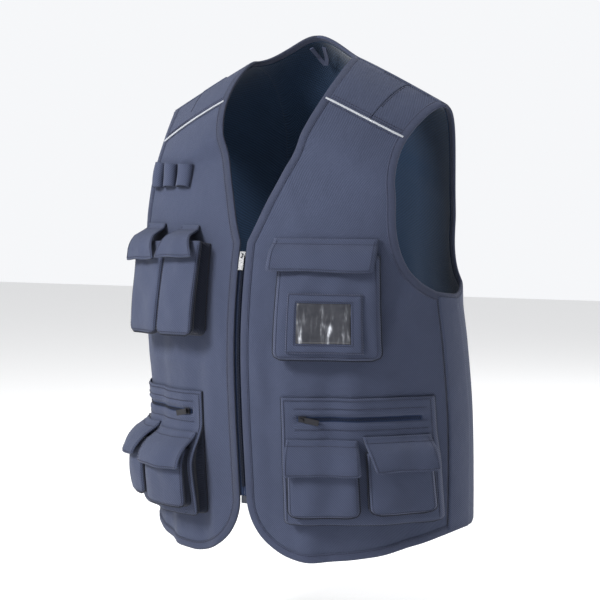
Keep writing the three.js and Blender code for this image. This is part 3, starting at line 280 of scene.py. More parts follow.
def smoothstep(value, low, high):
    share = np.clip((value - low) / (high - low), 0, 1)
    return share * share * (3 - 2 * share)


def ridge_height(x, back):
    root = lambda value: np.hypot(value, SHOULDER_ROUND)
    fall = SHOULDER_DROP / (root(SHOULDER_HALF_WIDTH) - root(NECK_HALF_WIDTH))
    near = np.maximum(1 - x / NECK_HALF_WIDTH, 0)
    rise = np.where(back, BACK_NECK_RISE * near * near * (3 - 2 * near), 0)
    return fall * (root(NECK_HALF_WIDTH) - root(x)) + rise


def form(side, turn, down):
    """The cloth's outer face. turn is 0 at the middle front, 90 at the side, 180 at the middle back."""
    turn, down = np.broadcast_arrays(np.asarray(turn, float), np.asarray(down, float))
    back = turn > 90
    around = np.radians(np.clip(np.where(back, 180 - turn, turn), 0, 90))
    across = np.sin(around) ** (2 / ROUNDNESS)
    ahead = np.maximum(np.cos(around), 0) ** (2 / ROUNDNESS)
    ridge_x = SHOULDER_HALF_WIDTH * across
    ridge_z = ridge_height(ridge_x, back)
    side_blend = across ** 4
    cap_drop = np.where(back, BACK_CAP_DROP + (FRONT_CAP_DROP - BACK_CAP_DROP) * side_blend, FRONT_CAP_DROP)
    middle_hem = np.where(back, BACK_LENGTH, FRONT_LENGTH)
    hem_z = -(middle_hem + (SIDE_LENGTH - middle_hem) * side_blend)
    foot_z = ridge_z - cap_drop
    tilt = np.radians(np.minimum(down, CAP_FOOT))
    in_cap = down <= CAP_FOOT
    z = np.where(in_cap, ridge_z - cap_drop * (1 - np.cos(tilt)),
                 foot_z + (hem_z - foot_z) * (down - CAP_FOOT) / (HEM - CAP_FOOT))
    near_foot = smoothstep(down, CAP_FOOT - FOOT_BLEND, CAP_FOOT)
    level = -np.where(in_cap, foot_z + (z - foot_z) * near_foot, z) / FRONT_LENGTH
    half = blend_column(SECTION_TABLE, 1, level) * CHEST_HALF_WIDTH
    front_y = -blend_column(SECTION_TABLE, 2, level) * FRONT_DEPTH
    side_y = blend_column(SECTION_TABLE, 3, level) * BACK_DEPTH
    back_y = blend_column(SECTION_TABLE, 4, level) * BACK_DEPTH
    rise = np.maximum(np.sin(tilt), 0)
    fullness = BACK_CAP_FULLNESS + (1 - BACK_CAP_FULLNESS) * rise * rise
    section_y = np.where(back, side_y + (back_y - side_y) * ahead ** fullness,
                         side_y - (side_y - front_y) * ahead)
    slope = (1 - CHEST_SLOPE_SHARE) * rise + CHEST_SLOPE_SHARE * rise ** CHEST_SLOPE_POWER
    profile = np.where(back, rise ** BACK_CAP_POWER, slope)
    x = ridge_x + (half * across - ridge_x) * (1 - np.cos(tilt))
    y = -SHOULDER_FORWARD + (section_y + SHOULDER_FORWARD) * profile
    return np.stack([side * x, y, z], axis=-1)


def form_normal(side, turn, down):
    step = 0.4
    turn, down = np.broadcast_arrays(np.asarray(turn, float), np.asarray(down, float))
    back = turn > 90
    centre = np.where(back, np.clip(turn, 90 + step, 180 - step), np.clip(turn, step, 90 - step))
    way = np.maximum(down, step + 0.1)
    along_turn = form(side, centre + step * 0.9, way) - form(side, centre - step * 0.9, way)
    along_way = form(side, centre, way + step) - form(side, centre, way - step)
    normal = np.cross(along_turn, along_way) * -side
    return normal / np.linalg.norm(normal, axis=-1, keepdims=True)


def relief(side, turn, point):
    """How far the folds lift the cloth, in millimetres."""
    x = np.abs(point[..., 0])
    z = point[..., 2]
    lift = np.zeros(x.shape)
    is_back = turn > 90
    for fold_side, face, across, fall, long, wide, lean, height in FOLDS:
        if fold_side != side:
            continue
        du = x - across
        dv = z + fall
        tip = math.radians(lean)
        along = (du * math.sin(tip) + dv * math.cos(tip)) / long
        beside = (du * math.cos(tip) - dv * math.sin(tip)) / wide
        bump = height * np.exp(-along * along - beside * beside)
        lift += np.where(is_back == (face == BACK), bump, 0)
    return lift + drape(side, is_back, x, z)


def drape(side, is_back, x, z):
    """Soft upright folds that grow towards the hem, fading out at the shoulders and at the zip."""
    face = np.where(is_back, 1.7, 0.0) + side * 0.6
    grow = smoothstep(-z, *DRAPE_FALLS) * smoothstep(x, *DRAPE_REACH)
    ripple = np.sin(x * 0.085 + 2.1 * face + 0.35 * np.sin(z * 0.012 + face))
    finer = np.sin(x * 0.16 - 1.3 * face + 0.9 * np.sin(z * 0.017 - face))
    seam = smoothstep(np.abs(x - SEAM_X), 0, SEAM_CALM)
    return grow * seam * (DRAPE_HEIGHT * ripple + FINE_DRAPE_HEIGHT * finer)


def cloth(side, turn, down, out):
    """Points out from the worn cloth, in millimetres."""
    point = form(side, turn, down)
    normal = form_normal(side, turn, down)
    lift = relief(side, np.asarray(turn), point)
    return point + normal * (np.asarray(out) + lift)[..., None]


def at_spots(side, spots, out):
    return cloth(side, spots[..., 0], spots[..., 1], out)


def turn_at(x, down, back=False):
    """The turn where the cloth is x from the middle, at a way down."""
    x, down = np.broadcast_arrays(np.asarray(x, float), np.asarray(down, float))
    low = np.zeros(x.shape)
    high = np.full(x.shape, 90.0)
    for _ in range(28):
        middle = (low + high) / 2
        place = 180 - middle if back else middle
        inside = form(1, place, down)[..., 0] < x
        low = np.where(inside, middle, low)
        high = np.where(inside, high, middle)
    return 180 - (low + high) / 2 if back else (low + high) / 2


def spot_at(x, fall):
    """The turn and way down on the front where the cloth is x from the middle and fall below the origin."""
    x, fall = np.broadcast_arrays(np.asarray(x, float), np.asarray(fall, float))
    turn = np.degrees(np.arcsin(np.clip(x / GUESS_HALF_WIDTH, 0, 0.98) ** 0.96))
    down = np.clip(CAP_FOOT + (fall - GUESS_FALL) / GUESS_FALL_PER_WAY, 20, 262)
    step = 0.2
    for _ in range(14):
        here = form(1, turn, down)
        by_turn = (form(1, turn + step, down) - form(1, turn - step, down)) / (2 * step)
        by_down = (form(1, turn, down + step) - form(1, turn, down - step)) / (2 * step)
        miss_x = x - here[..., 0]
        miss_z = -fall - here[..., 2]
        size = by_turn[..., 0] * by_down[..., 2] - by_down[..., 0] * by_turn[..., 2]
        move_turn = (miss_x * by_down[..., 2] - by_down[..., 0] * miss_z) / size
        move_down = (by_turn[..., 0] * miss_z - miss_x * by_turn[..., 2]) / size
        turn = np.clip(turn + np.clip(move_turn, -8, 8), 0.3, 89.6)
        down = np.clip(down + np.clip(move_down, -20, 20), 1, LAST_WAY)
    return turn, down


def panel(side, x, fall, out):
    """Points on a front, by their distance from the middle, their fall below the origin and their lift."""
    turn, down = spot_at(x, fall)
    return cloth(side, turn, down, out)


def fine(stations, steps=FINE):
    places = np.arange((len(stations) - 1) * steps + 1) / steps
    return np.interp(places, np.arange(len(stations)), stations)


def neck_front_line(down):
    open_half = blend_column(NECK_FRONT, 1, np.minimum(down, ZIP_TOP)) * NECK_HALF_WIDTH
    return turn_at(np.maximum(open_half, ZIP_HALF_OPENING), down), down


def line(turns, downs):
    return np.stack([np.asarray(turns, float), np.asarray(downs, float)], axis=-1)


def make_edges():
    """The garment's raw edges on one side, as lines of turn and way down."""
    inner_down = fine(YOKE_ROWS + FRONT_ROWS + [HEM_CORNER_TOP])
    straight = line(*neck_front_line(inner_down))
    swing = np.radians(np.linspace(0, 90, CORNER_STEPS * FINE + 1)[1:])
    corner_down = HEM_CORNER_TOP + (HEM - HEM_CORNER_TOP) * np.sin(swing)
    corner_x = ZIP_HALF_OPENING + HEM_CORNER_RADIUS * (1 - np.cos(swing))
    inner = np.concatenate([straight, line(turn_at(corner_x, corner_down), corner_down)])
    shares = fine(FRONT_COLUMNS)[1:]
    hem_front = line(inner[-1, 0] + (SIDE_SEAM - inner[-1, 0]) * shares, np.full(len(shares), HEM))
    arm_down = fine(YOKE_ROWS + ARM_FRONT_ROWS + [SEAM_ROWS[0]])
    arm_front = line(blend_column(ARMHOLE_FRONT, 1, arm_down), arm_down)
    arm_under = line(np.linspace(SIDE_SEAM, 90, FINE + 1)[1:],
                     np.linspace(SEAM_ROWS[0], ARM_BACK_ROWS[-1], FINE + 1)[1:])
    back_down = fine(ARM_BACK_ROWS)
    arm_back = line(180 - blend_column(ARMHOLE_BACK, 1, back_down), back_down)
    neck_down = fine(NECK_BACK_ROWS)
    neck_x = blend_column(NECK_BACK, 1, neck_down) * NECK_HALF_WIDTH
    neck_back = line(turn_at(neck_x, neck_down, back=True), neck_down)
    hem_back = line(180 + (SIDE_SEAM - 180) * BACK_SHARES[::-1][1:], np.full(len(BACK_SHARES) - 1, HEM))
    return dict(inner=inner, hem_front=hem_front, arm_front=arm_front, arm_under=arm_under, arm_back=arm_back,
                neck_back=neck_back, hem_back=hem_back)


BACK_SHARES = np.concatenate([
    np.linspace(0, BACK_NECK_SHARE, (len(NECK_BACK_ROWS) - 1) * FINE + 1),
    np.linspace(BACK_NECK_SHARE, 1, BACK_SHOULDER_STEPS * FINE + 1)[1:],
])
EDGES = make_edges()


def inset_line(spots, width, closed):
    """A line moved in from an edge by a width measured on the cloth."""
    point = form(1, spots[:, 0], spots[:, 1])
    if closed:
        run = np.roll(point, -1, axis=0) - np.roll(point, 1, axis=0)
    else:
        mirror = point * [-1, 1, 1]
        run = np.concatenate([point[1:], mirror[-2:-1]]) - np.concatenate([mirror[1:2], point[:-1]])
    normal = form_normal(1, spots[:, 0], spots[:, 1])
    inward = np.cross(normal, run)
    inward *= width / np.linalg.norm(inward, axis=-1, keepdims=True)
    step = 0.5
    back = spots[:, 0] > 90
    turn = np.where(back, np.clip(spots[:, 0], 90 + step, 180 - step), np.clip(spots[:, 0], step, 90 - step))
    way = np.maximum(spots[:, 1], step)
    here = form(1, turn, way)
    hand = np.where(back, -1.0, 1.0)
    by_turn = (form(1, turn + step * hand, way) - here) / (step * hand)[:, None]
    by_way = (form(1, turn, way + step) - here) / step
    dot = lambda a, b: np.sum(a * b, axis=-1)
    tt, tw, ww = dot(by_turn, by_turn), dot(by_turn, by_way), dot(by_way, by_way)
    it, iw = dot(inward, by_turn), dot(inward, by_way)
    spread = tt * ww - tw * tw
    moved_turn = spots[:, 0] + (it * ww - iw * tw) / spread
    shifted = np.maximum(spots[:, 1] + (iw * tt - it * tw) / spread, 0.1)
    moved_down = np.where(spots[:, 1] < 1, spots[:, 1], shifted)
    moved = line(np.clip(moved_turn, 0, 180), moved_down)
    if not closed:
        for place, hand_down in ((0, 1), (-1, -1)):
            down = spots[place, 1]
            speed = np.linalg.norm(form(1, 179.9, down + hand_down) - form(1, 179.9, down))
            moved[place] = [180, down + hand_down * width / speed]
    return moved


def outline_line(width):
    """One side's whole edge, from the middle of the back neck to the middle of the back hem, moved in."""
    e = EDGES
    spots = np.concatenate([e["neck_back"], e["inner"], e["hem_front"], e["hem_back"]])
    moved = inset_line(spots, width, False) if width else spots.copy()
    seam = len(e["neck_back"]) + len(e["inner"]) + len(e["hem_front"]) - 1
    moved[seam, 0] = SIDE_SEAM
    return moved


def arm_line(width):
    """The armhole's edge, from the ridge down the front and up the back, moved in."""
    e = EDGES
    spots = np.concatenate([e["arm_front"], e["arm_under"], e["arm_back"][:-1][::-1]])
    if not width:
        return spots
    moved = inset_line(spots[::-1], width, True)[::-1].copy()
    seam = len(e["arm_front"]) - 1
    low = moved[seam - FINE:seam + FINE + 1]
    order = np.argsort(low[:, 0])
    moved[seam] = [SIDE_SEAM, np.interp(SIDE_SEAM, low[order, 0], low[order, 1])]
    return moved


def edges_at(width):
    """The inset edges cut into the runs that the panels need."""
    e = EDGES
    rim = outline_line(width)
    arm = arm_line(width)
    neck_count = len(e["neck_back"])
    front_end = neck_count + len(e["inner"])
    seam_place = front_end + len(e["hem_front"]) - 1
    corner = len(e["arm_front"]) - 1
    seam_down = np.minimum(fine(SEAM_ROWS), rim[seam_place, 1])
    seam_down = np.maximum(seam_down, arm[corner, 1])
    seam = line(np.full(len(seam_down), SIDE_SEAM), seam_down)
    arm_back = arm[corner + FINE:][::-1]
    return dict(neck_back=rim[:neck_count], inner=rim[neck_count:front_end],
                hem_front=rim[front_end - 1:seam_place + 1], arm_front=arm[:corner + 1],
                arm_under=arm[corner:corner + FINE + 1], arm_back=arm_back, seam=seam,
                hem_back=rim[seam_place:])


def fill_grid(top, bottom, left, right, shares):
    """A grid of spots between four edges that meet at their ends."""
    fall = ((left[:, 1] - left[0, 1]) / (left[-1, 1] - left[0, 1]))[:, None, None]
    share = shares[None, :, None]
    sides = left[:, None] * (1 - share) + right[:, None] * share
    ends = top[None] * (1 - fall) + bottom[None] * fall
    corners = ((top[0] * (1 - share) + top[-1] * share) * (1 - fall)
               + (bottom[0] * (1 - share) + bottom[-1] * share) * fall)
    return sides + ends - corners


def run_between(start, end, shares):
    return start[None] * (1 - shares[:, None]) + end[None] * shares[:, None]


def front_grid(edges):
    inner = edges["inner"]
    outer = np.concatenate([edges["arm_front"], edges["seam"][1:]])
    shares = fine(FRONT_COLUMNS)
    top = run_between(inner[0], outer[0], shares)
    return fill_grid(top, edges["hem_front"], inner, outer, shares)


def back_grid(edges):
    under = edges["arm_under"][::-1][1:]
    outer = np.concatenate([edges["arm_back"], under, edges["seam"][1:]])
    bottom = edges["hem_back"][::-1].copy()
    middle_down = fine([edges["neck_back"][0, 1]] + BACK_MIDDLE_ROWS + [bottom[0, 1]])
    middle = line(np.full(len(middle_down), 180.0), middle_down)
    neck = edges["neck_back"]
    shoulder = run_between(neck[-1], outer[0], np.linspace(0, 1, BACK_SHOULDER_STEPS * FINE + 1))
    top = np.concatenate([neck[:-1], shoulder])
    bottom[-1] = outer[-1]
    return fill_grid(top, bottom, middle, outer, BACK_SHARES)


class Sum:
    """A shader value. Python's arithmetic on it adds the Math nodes."""

    def __init__(self, recipe, socket):
        self.recipe = recipe
        self.socket = socket

    def math(self, operation, other):
        node = self.recipe.node("ShaderNodeMath", {"operation": operation}, {0: self, 1: other})
        return self.recipe.value(node)

    def __add__(self, other):
        return self.math("ADD", other)

    def __mul__(self, other):
        return self.math("MULTIPLY", other)

    def __pow__(self, other):
        return self.math("POWER", other)


class Recipe:
    """A material with its Principled shader. Every other node comes from the node method."""

    def __init__(self, name, **sockets):
        self.material = bpy.data.materials.new(name)
        self.material.use_nodes = True
        self.tree = self.material.node_tree
        self.tree.nodes.clear()
        output = self.tree.nodes.new("ShaderNodeOutputMaterial")
        self.shader = self.tree.nodes.new("ShaderNodeBsdfPrincipled")
        self.tree.links.new(self.shader.outputs[0], output.inputs[0])
        for socket, value in sockets.items():
            self.shader.inputs[socket.replace("_", " ")].default_value = value

    def node(self, kind, settings=None, inputs=None):
        made = self.tree.nodes.new(kind)
        for key, value in (settings or {}).items():
            setattr(made, key, value)
        for key, value in (inputs or {}).items():
            self.feed(made.inputs[key], value)
        return made

    def feed(self, socket, value):
        if isinstance(value, Sum):
            self.tree.links.new(value.socket, socket)
        elif isinstance(value, bpy.types.NodeSocket):
            self.tree.links.new(value, socket)
        else:
            socket.default_value = value

    def value(self, node, output=0):
        return Sum(self, node.outputs[output])

    def noise(self, scale, detail, vector=None):
        """Noise over the object's own space, or over another vector."""
        if vector is None:
            vector = self.node("ShaderNodeTexCoord").outputs["Object"]
        inputs = {"Vector": vector, "Scale": scale, "Detail": detail}
        return self.value(self.node("ShaderNodeTexNoise", None, inputs))

    def sine(self, phase):
        return self.value(self.node("ShaderNodeMath", {"operation": "SINE"}, {0: phase}))

    @property
    def flat(self):
        return self.node("ShaderNodeTexCoord").outputs["UV"]

    def flat_parts(self):
        parts = self.node("ShaderNodeSeparateXYZ", None, {0: self.flat})
        return self.value(parts, 0), self.value(parts, 1)

    def paint(self, factor, first, second):
        """Base colour between two colours."""
        node = self.node("ShaderNodeMix", {"data_type": "RGBA"}, {"Factor": factor, 6: first, 7: second})
        self.feed(self.shader.inputs["Base Color"], node.outputs[2])

    def bump(self, height, distance):
        node = self.node("ShaderNodeBump", None, {"Height": height, "Distance": distance})
        self.feed(self.shader.inputs["Normal"], node.outputs[0])


def shade(colour, factor):
    return (colour[0] * factor, colour[1] * factor, colour[2] * factor, 1.0)


def woven(name, colour, rib=0.0030, contrast=0.34, depth=0.0006, diagonal=True):
    """Cloth with ribs that run across its UV map, which is in metres."""
    recipe = Recipe(name, Roughness=0.94, Sheen_Weight=0.08, Sheen_Roughness=0.5, Specular_IOR_Level=0.15)
    across, along = recipe.flat_parts()
    way = across + along if diagonal else along
    ribs = recipe.sine(way * (2 * math.pi / rib)) * 0.5 + 0.5
    fuzz = recipe.noise(900.0, 3.0)
    cloud = recipe.noise(7.0, 4.0)
    patchy = recipe.noise(38.0, 3.0)
    crumple = recipe.noise(24.0, 3.0)
    reach = contrast * 1.6
    tone = ribs * 0.45 + fuzz * 0.25 + cloud * 0.2 + patchy * 0.1
    recipe.paint(tone, shade(colour, 1 - reach), shade(colour, 1 + reach))
    recipe.bump(ribs * 0.5 + fuzz * 0.4 + crumple * 6.0, depth)
    return recipe.material


def mesh_cloth(name, colour, hole=0.0038):
    """Knitted lining with rows of small holes."""
    recipe = Recipe(name, Roughness=0.95, Sheen_Weight=0.2, Specular_IOR_Level=0.15)
    turn = 2 * math.pi / hole
    across, along = recipe.flat_parts()
    dots = recipe.sine(across * turn) * recipe.sine(along * turn) * 0.5 + 0.5
    cloud = recipe.noise(9.0, 3.0)
    recipe.paint(dots * 0.8 + cloud * 0.2, shade(colour, 0.25), shade(colour, 2.0))
    recipe.bump(dots, 0.0003)
    return recipe.material


def metal(name, colour, roughness):
    recipe = Recipe(name, Metallic=1.0)
    scratches = recipe.noise(420.0, 4.0)
    cloud = recipe.noise(60.0, 2.0)
    recipe.feed(recipe.shader.inputs["Roughness"], scratches * 0.22 + (roughness - 0.1))
    recipe.paint(cloud, shade(colour, 0.8), shade(colour, 1.15))
    recipe.bump(scratches, 0.00005)
    return recipe.material


def clear_film(name):
    """Soft clear film over dark cloth, with pale streaks painted into its colour as the reflections of its
    bends.
    """
    recipe = Recipe(name, Coat_Roughness=0.08, Coat_Weight=0.35, Specular_IOR_Level=0.4)
    drawn = recipe.node("ShaderNodeMapping", None,
                        {"Vector": recipe.flat, "Rotation": (0, 0, 0.45), "Scale": (1.0, 0.22, 1.0)})
    streaks = recipe.noise(130.0, 3.0, drawn.outputs[0])
    patches = recipe.noise(55.0, 2.0)
    # Painted reflection: the glint marks the pale streaks that the film's bends would reflect
    glint = (streaks * 1.55) ** 12.0 * (patches * 1.5) ** 4.0
    haze = recipe.noise(120.0, 4.0)
    recipe.feed(recipe.shader.inputs["Roughness"], haze * 0.25 + 0.08)
    # The glint is painted into the base colour as reflection; the haze adds a faint milky tone
    recipe.paint(glint * 0.85 + haze * 0.06, (0.014, 0.015, 0.022, 1), (0.55, 0.57, 0.62, 1))
    recipe.bump(recipe.noise(30.0, 2.0), 0.002)
    return recipe.material


MATERIALS = {}


def arc_uv(points):
    """UV in metres, from the lengths of a grid's rows and columns."""
    across = np.linalg.norm(np.diff(points, axis=1), axis=-1)
    along = np.linalg.norm(np.diff(points, axis=0), axis=-1)
    u = np.concatenate([np.zeros((points.shape[0], 1)), np.cumsum(across, axis=1)], axis=1)
    u -= u.mean(axis=1, keepdims=True)
    v = np.concatenate([np.zeros((1, points.shape[1])), np.cumsum(along, axis=0)], axis=0)
    return np.stack([u, -v], axis=-1)


def quads_of(index):
    """The corners of each cell of a grid of numbers."""
    corners = [index[:-1, :-1], index[:-1, 1:], index[1:, 1:], index[1:, :-1]]
    return np.stack(corners, axis=-1).reshape(-1, 4)


def mesh_piece(name, vertices, faces, material, thickness=None, cad=(), uv=None, smooth=True):
    mesh = bpy.data.meshes.new(name)
    mesh.from_pydata(vertices.tolist(), [], faces.tolist())
    if uv is not None:
        layer = mesh.uv_layers.new(name="UVMap")
        layer.data.foreach_set("uv", np.asarray(uv, np.float32).reshape(-1))
    mesh.polygons.foreach_set("use_smooth", [smooth] * len(mesh.polygons))
    mesh.materials.append(MATERIALS[material])
    piece = bpy.data.objects.new(name, mesh)
    bpy.context.scene.collection.objects.link(piece)
    if thickness:
        skin = piece.modifiers.new("thickness", "SOLIDIFY")
        skin.thickness = thickness * MM
        skin.offset = -1
        skin.use_even_offset = False
    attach(piece, "vest")
    if cad:
        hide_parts(*cad)
    return piece


def grid_piece(name, points, material, thickness=None, cad=(), flip=False, ways=None):
    """A mesh over a grid of points in millimetres, given cloth thickness inwards."""
    points = np.asarray(points) * MM
    uv = arc_uv(points)
    if ways is not None:
        uv[..., 1] = -ways * WAY_LENGTH * MM
    quads = quads_of(np.arange(uv[..., 0].size).reshape(uv.shape[:2]))
    if flip:
        quads = quads[:, ::-1]
    corner_uv = uv.reshape(-1, 2)[quads.reshape(-1)]
    return mesh_piece(name, points.reshape(-1, 3), quads, material, thickness, cad, corner_uv)


def closed_loop_piece(name, rings, material, cad):
    """A closed tube from rings of corners, the rings and the corners both joined to their first."""
    points = np.concatenate([rings, rings[:, :1]], axis=1) * MM
    rows, columns = points.shape[:2]
    uv = arc_uv(np.concatenate([points, points[:1]]))
    index = np.arange(rows)[:, None] * (columns - 1) + np.arange(columns)[None] % (columns - 1)
    outward = [0, 3, 2, 1]
    quads = quads_of(np.concatenate([index, index[:1]]))[:, outward]
    uv_quads = quads_of(np.arange((rows + 1) * columns).reshape(rows + 1, columns))[:, outward]
    vertices = points[:, :-1].reshape(-1, 3)
    first, second, third, last = np.moveaxis(vertices[quads], 1, 0)
    volume = (first * (np.cross(second, third) + np.cross(third, last))).sum()
    if volume < 0:
        quads = quads[:, ::-1]
        uv_quads = uv_quads[:, ::-1]
    corner_uv = uv.reshape(-1, 2)[uv_quads.reshape(-1)]
    return mesh_piece(name, vertices, quads, material, cad=cad, uv=corner_uv)


def declare_cloth(width, length):
    width * MM
    length * MM


def grid_area(points):
    """The area of a grid of points in millimetres, in square metres."""
    points = np.asarray(points) * MM
    a = np.cross(points[1:, :-1] - points[:-1, :-1], points[:-1, 1:] - points[:-1, :-1])
    b = np.cross(points[1:, :-1] - points[1:, 1:], points[:-1, 1:] - points[1:, 1:])
    return float((np.linalg.norm(a, axis=-1).sum() + np.linalg.norm(b, axis=-1).sum()) / 2)


def cloth_piece(name, points, material, thickness, width, length, cad=(), flip=False, rests_on=(), ways=None):
    """A grid piece of cloth of a cut size, whose area is worked out from the grid."""
    piece = grid_piece(name, points, material, thickness, cad=cad, flip=flip, ways=ways)
    most = 1e-6 * width * length
    area = min(max(grid_area(points), LEAST_AREA_SHARE * most), most)
    declare_cloth(width, length)


def binding_rings(side, edge, inset):
    rings = [at_spots(side, edge + (inset - edge) * share, out) for share, out in BINDING_PROFILE]
    return np.stack(rings, axis=1)


def edge_and_inset(edge_line):
    return edge_line(0), edge_line(BINDING_WIDTH)


def back_points(edges, out):
    """The whole back, its two halves joined at the middle, and the way down of each of its points."""
    back = back_grid(edges)
    ways = back[..., 1]
    points = np.concatenate([np.flip(at_spots(1, back, out), axis=1), at_spots(-1, back, out)[:, 1:]], axis=1)
    return points, np.concatenate([np.flip(ways, axis=1), ways[:, 1:]], axis=1)


def colour_setting(name, description, default):
    return bpy.props.FloatVectorProperty(name=name, description=description, default=default, subtype="COLOR",
                                         size=3, min=0, max=1)


def number_setting(name, description, default, low, high, **kind):
    return bpy.props.FloatProperty(name=name, description=description, default=default, min=low, max=high,
                                   **kind)


class VestColours(bpy.types.PropertyGroup):
    """Colours of the vest's cloths and trims."""
    cloth: colour_setting("Cloth", "Colour of the twill", (0.047, 0.057, 0.097))
    binding: colour_setting("Binding", "Colour of the edge bindings", (0.046, 0.055, 0.094))
    # The lining's own blue, darkened as painted shade for the dark inside of the vest
    lining: colour_setting("Lining", "Colour of the mesh lining", (0.006, 0.018, 0.042))
    piping: colour_setting("Piping", "Colour of the reflective piping", (0.46, 0.48, 0.52))
    thread: colour_setting("Thread", "Colour of the sewing thread", (0.030, 0.034, 0.062))


class VestSizes(bpy.types.PropertyGroup):
    """Sizes of the stitching."""
    stitch_length: number_setting("Stitch length", "Length of one stitch", 0.0026, 0.001, 0.006,
                                  subtype="DISTANCE", unit="LENGTH")
    stitch_pitch: number_setting("Stitch pitch", "Distance from one stitch to the next", 0.0034, 0.0015,
                                 0.008, subtype="DISTANCE", unit="LENGTH")


class StageSettings(bpy.types.PropertyGroup):
    """The studio around the vest."""
    floor_colour: colour_setting("Floor", "Colour of the floor", (0.88, 0.88, 0.88))
    sky: number_setting("Sky", "Brightness of the studio all round", 0.48, 0, 5)
    wall: number_setting("Wall", "Brightness of the wall behind", 0.95, 0, 5)
    key_power: number_setting("Key light", "Power of the main light in watts", 120.0, 0, 500)
    rim_power: number_setting("Rim light", "Power of the light behind in watts", 60.0, 0, 500)
    fill_power: number_setting("Fill light", "Power of the fill light in watts", 10.0, 0, 500)


class VEST_OT_materials(bpy.types.Operator):
    """Makes the cloths, metals and films"""
    bl_idname = "vest.materials"
    bl_label = "Materials"

    def execute(self, context):
        colours = context.scene.vest_colours
        MATERIALS["twill"] = woven("twill", colours.cloth)
        MATERIALS["binding"] = woven("binding", colours.binding, rib=0.0016, diagonal=False)
        # The gusset cloth: the twill's colour darkened as painted shade for the pleats' recesses
        MATERIALS["gusset"] = woven("gusset", [c * GUSSET_PAINTED_SHADE for c in colours.cloth])
        MATERIALS["mesh_lining"] = mesh_cloth("mesh_lining", colours.lining)
        MATERIALS["reflective_piping"] = woven("reflective_piping", colours.piping, rib=0.0012, contrast=0.08)
        MATERIALS["thread"] = woven("thread", colours.thread, rib=0.0006, contrast=0.1, depth=0.00005)
        MATERIALS["zip_tape"] = woven("zip_tape", (0.017, 0.029, 0.070), rib=0.0012, diagonal=False)
        MATERIALS["zip_coil"] = woven("zip_coil", (0.008, 0.011, 0.022), rib=0.0009, depth=0.0001)
        MATERIALS["zip_steel"] = metal("zip_steel", (0.30, 0.30, 0.31), 0.27)
        MATERIALS["black_metal"] = metal("black_metal", (0.035, 0.035, 0.04), 0.4)
        MATERIALS["clear_film"] = clear_film("clear_film")
        MATERIALS["dark_steel"] = metal("dark_steel", (0.06, 0.065, 0.08), 0.4)
        slots = {entry["node"]: entry["material_slot"] for entry in frame["record"]["subparts"]}
        slots["zip_box"] = "dark_steel"
        for name, node in frame["nodes"].items():
            node.data.materials.clear()
            node.data.materials.append(MATERIALS[slots[name]])
        return {"FINISHED"}


class VEST_OT_panels(bpy.types.Operator):
    """Makes the fronts, the yokes and the back"""
    bl_idname = "vest.panels"
    bl_label = "Panels"

    def execute(self, context):
        edges = edges_at(PANEL_TUCK)
        whole = front_grid(edges)
        lower = whole[FRONT_START - FINE // 2:]
        yoke = whole[:YOKE_END + FINE // 2]
        split = YOKE_SPLIT * FINE
        for name, side in SIDES:
            cloth_piece(f"cloth_front_{name}", at_spots(side, lower, 0.0), "twill", CLOTH, *FRONT_FLAT,
                        cad=[f"front_{name}"], flip=side > 0, rests_on=[f"binding_armhole_{name}"],
                        ways=lower[..., 1])
            parts = (("inner", slice(0, split + 1), 1.0), ("outer", slice(split, None), 0.45))
            for part, columns, out in parts:
                points = at_spots(side, yoke[:, columns], out)
                cloth_piece(f"cloth_yoke_{name}_{part}", points, "twill", CLOTH, *YOKE_FLAT,
                            cad=[f"yoke_{name}_{part}"], flip=side > 0)
        points, ways = back_points(edges, 0.0)
        cloth_piece("cloth_back", points, "twill", CLOTH, *BACK_FLAT, cad=["back_panel"],
                    rests_on=["binding_edge"], ways=ways)
        return {"FINISHED"}


class VEST_OT_linings(bpy.types.Operator):
    """Makes the mesh lining"""
    bl_idname = "vest.linings"
    bl_label = "Linings"

    def execute(self, context):
        edges = edges_at(LINING_TUCK)
        whole = front_grid(edges)
        for name, side in SIDES:
            cloth_piece(f"lining_cloth_{name}", at_spots(side, whole, LINING_OUT), "mesh_lining",
                        LINING_CLOTH, *FRONT_LINING_FLAT, cad=[f"lining_front_{name}"], flip=side > 0)
        points, _ = back_points(edges, LINING_OUT)
        cloth_piece("lining_cloth_back", points, "mesh_lining", LINING_CLOTH, *BACK_LINING_FLAT,
                    cad=["lining_back"])
        return {"FINISHED"}


class VEST_OT_bindings(bpy.types.Operator):
    """Makes the bindings round the edges and the piping under the yokes"""
    bl_idname = "vest.bindings"
    bl_label = "Bindings and piping"

    def execute(self, context):
        rim = edge_and_inset(outline_line)
        arm = edge_and_inset(arm_line)
        left, right = [binding_rings(side, *rim) for _, side in SIDES]
        around = np.concatenate([left, right[1:-1][::-1]])
        closed_loop_piece("binding_edge", around, "binding", ["edge_binding"])
        for name, side in SIDES:
            closed_loop_piece(f"binding_armhole_{name}", binding_rings(side, *arm), "binding",
                              [f"armhole_binding_{name}"])
        whole = front_grid(edges_at(PANEL_TUCK))
        middle = (whole[YOKE_END] + whole[FRONT_START]) / 2
        for name, side in SIDES:
            centre = at_spots(side, middle, 1.0)
            normal = form_normal(side, middle[:, 0], middle[:, 1])
            run = np.gradient(centre, axis=0)
            run /= np.linalg.norm(run, axis=1, keepdims=True)
            beside = np.cross(normal, run)
            turns = np.linspace(0, 2 * math.pi, 11)
            ring = [centre + beside * PIPING_HALF_WIDTH * math.cos(t)
                    + normal * PIPING_HALF_HEIGHT * math.sin(t) for t in turns]
            grid_piece(f"piping_cord_{name}", np.stack(ring, axis=1), "reflective_piping",
                       cad=[f"piping_{name}"], flip=side > 0)
        return {"FINISHED"}


def lengths_along(points):
    """The way along a line of points to each of them."""
    return np.concatenate([[0], np.cumsum(np.linalg.norm(np.diff(points, axis=0), axis=1))])


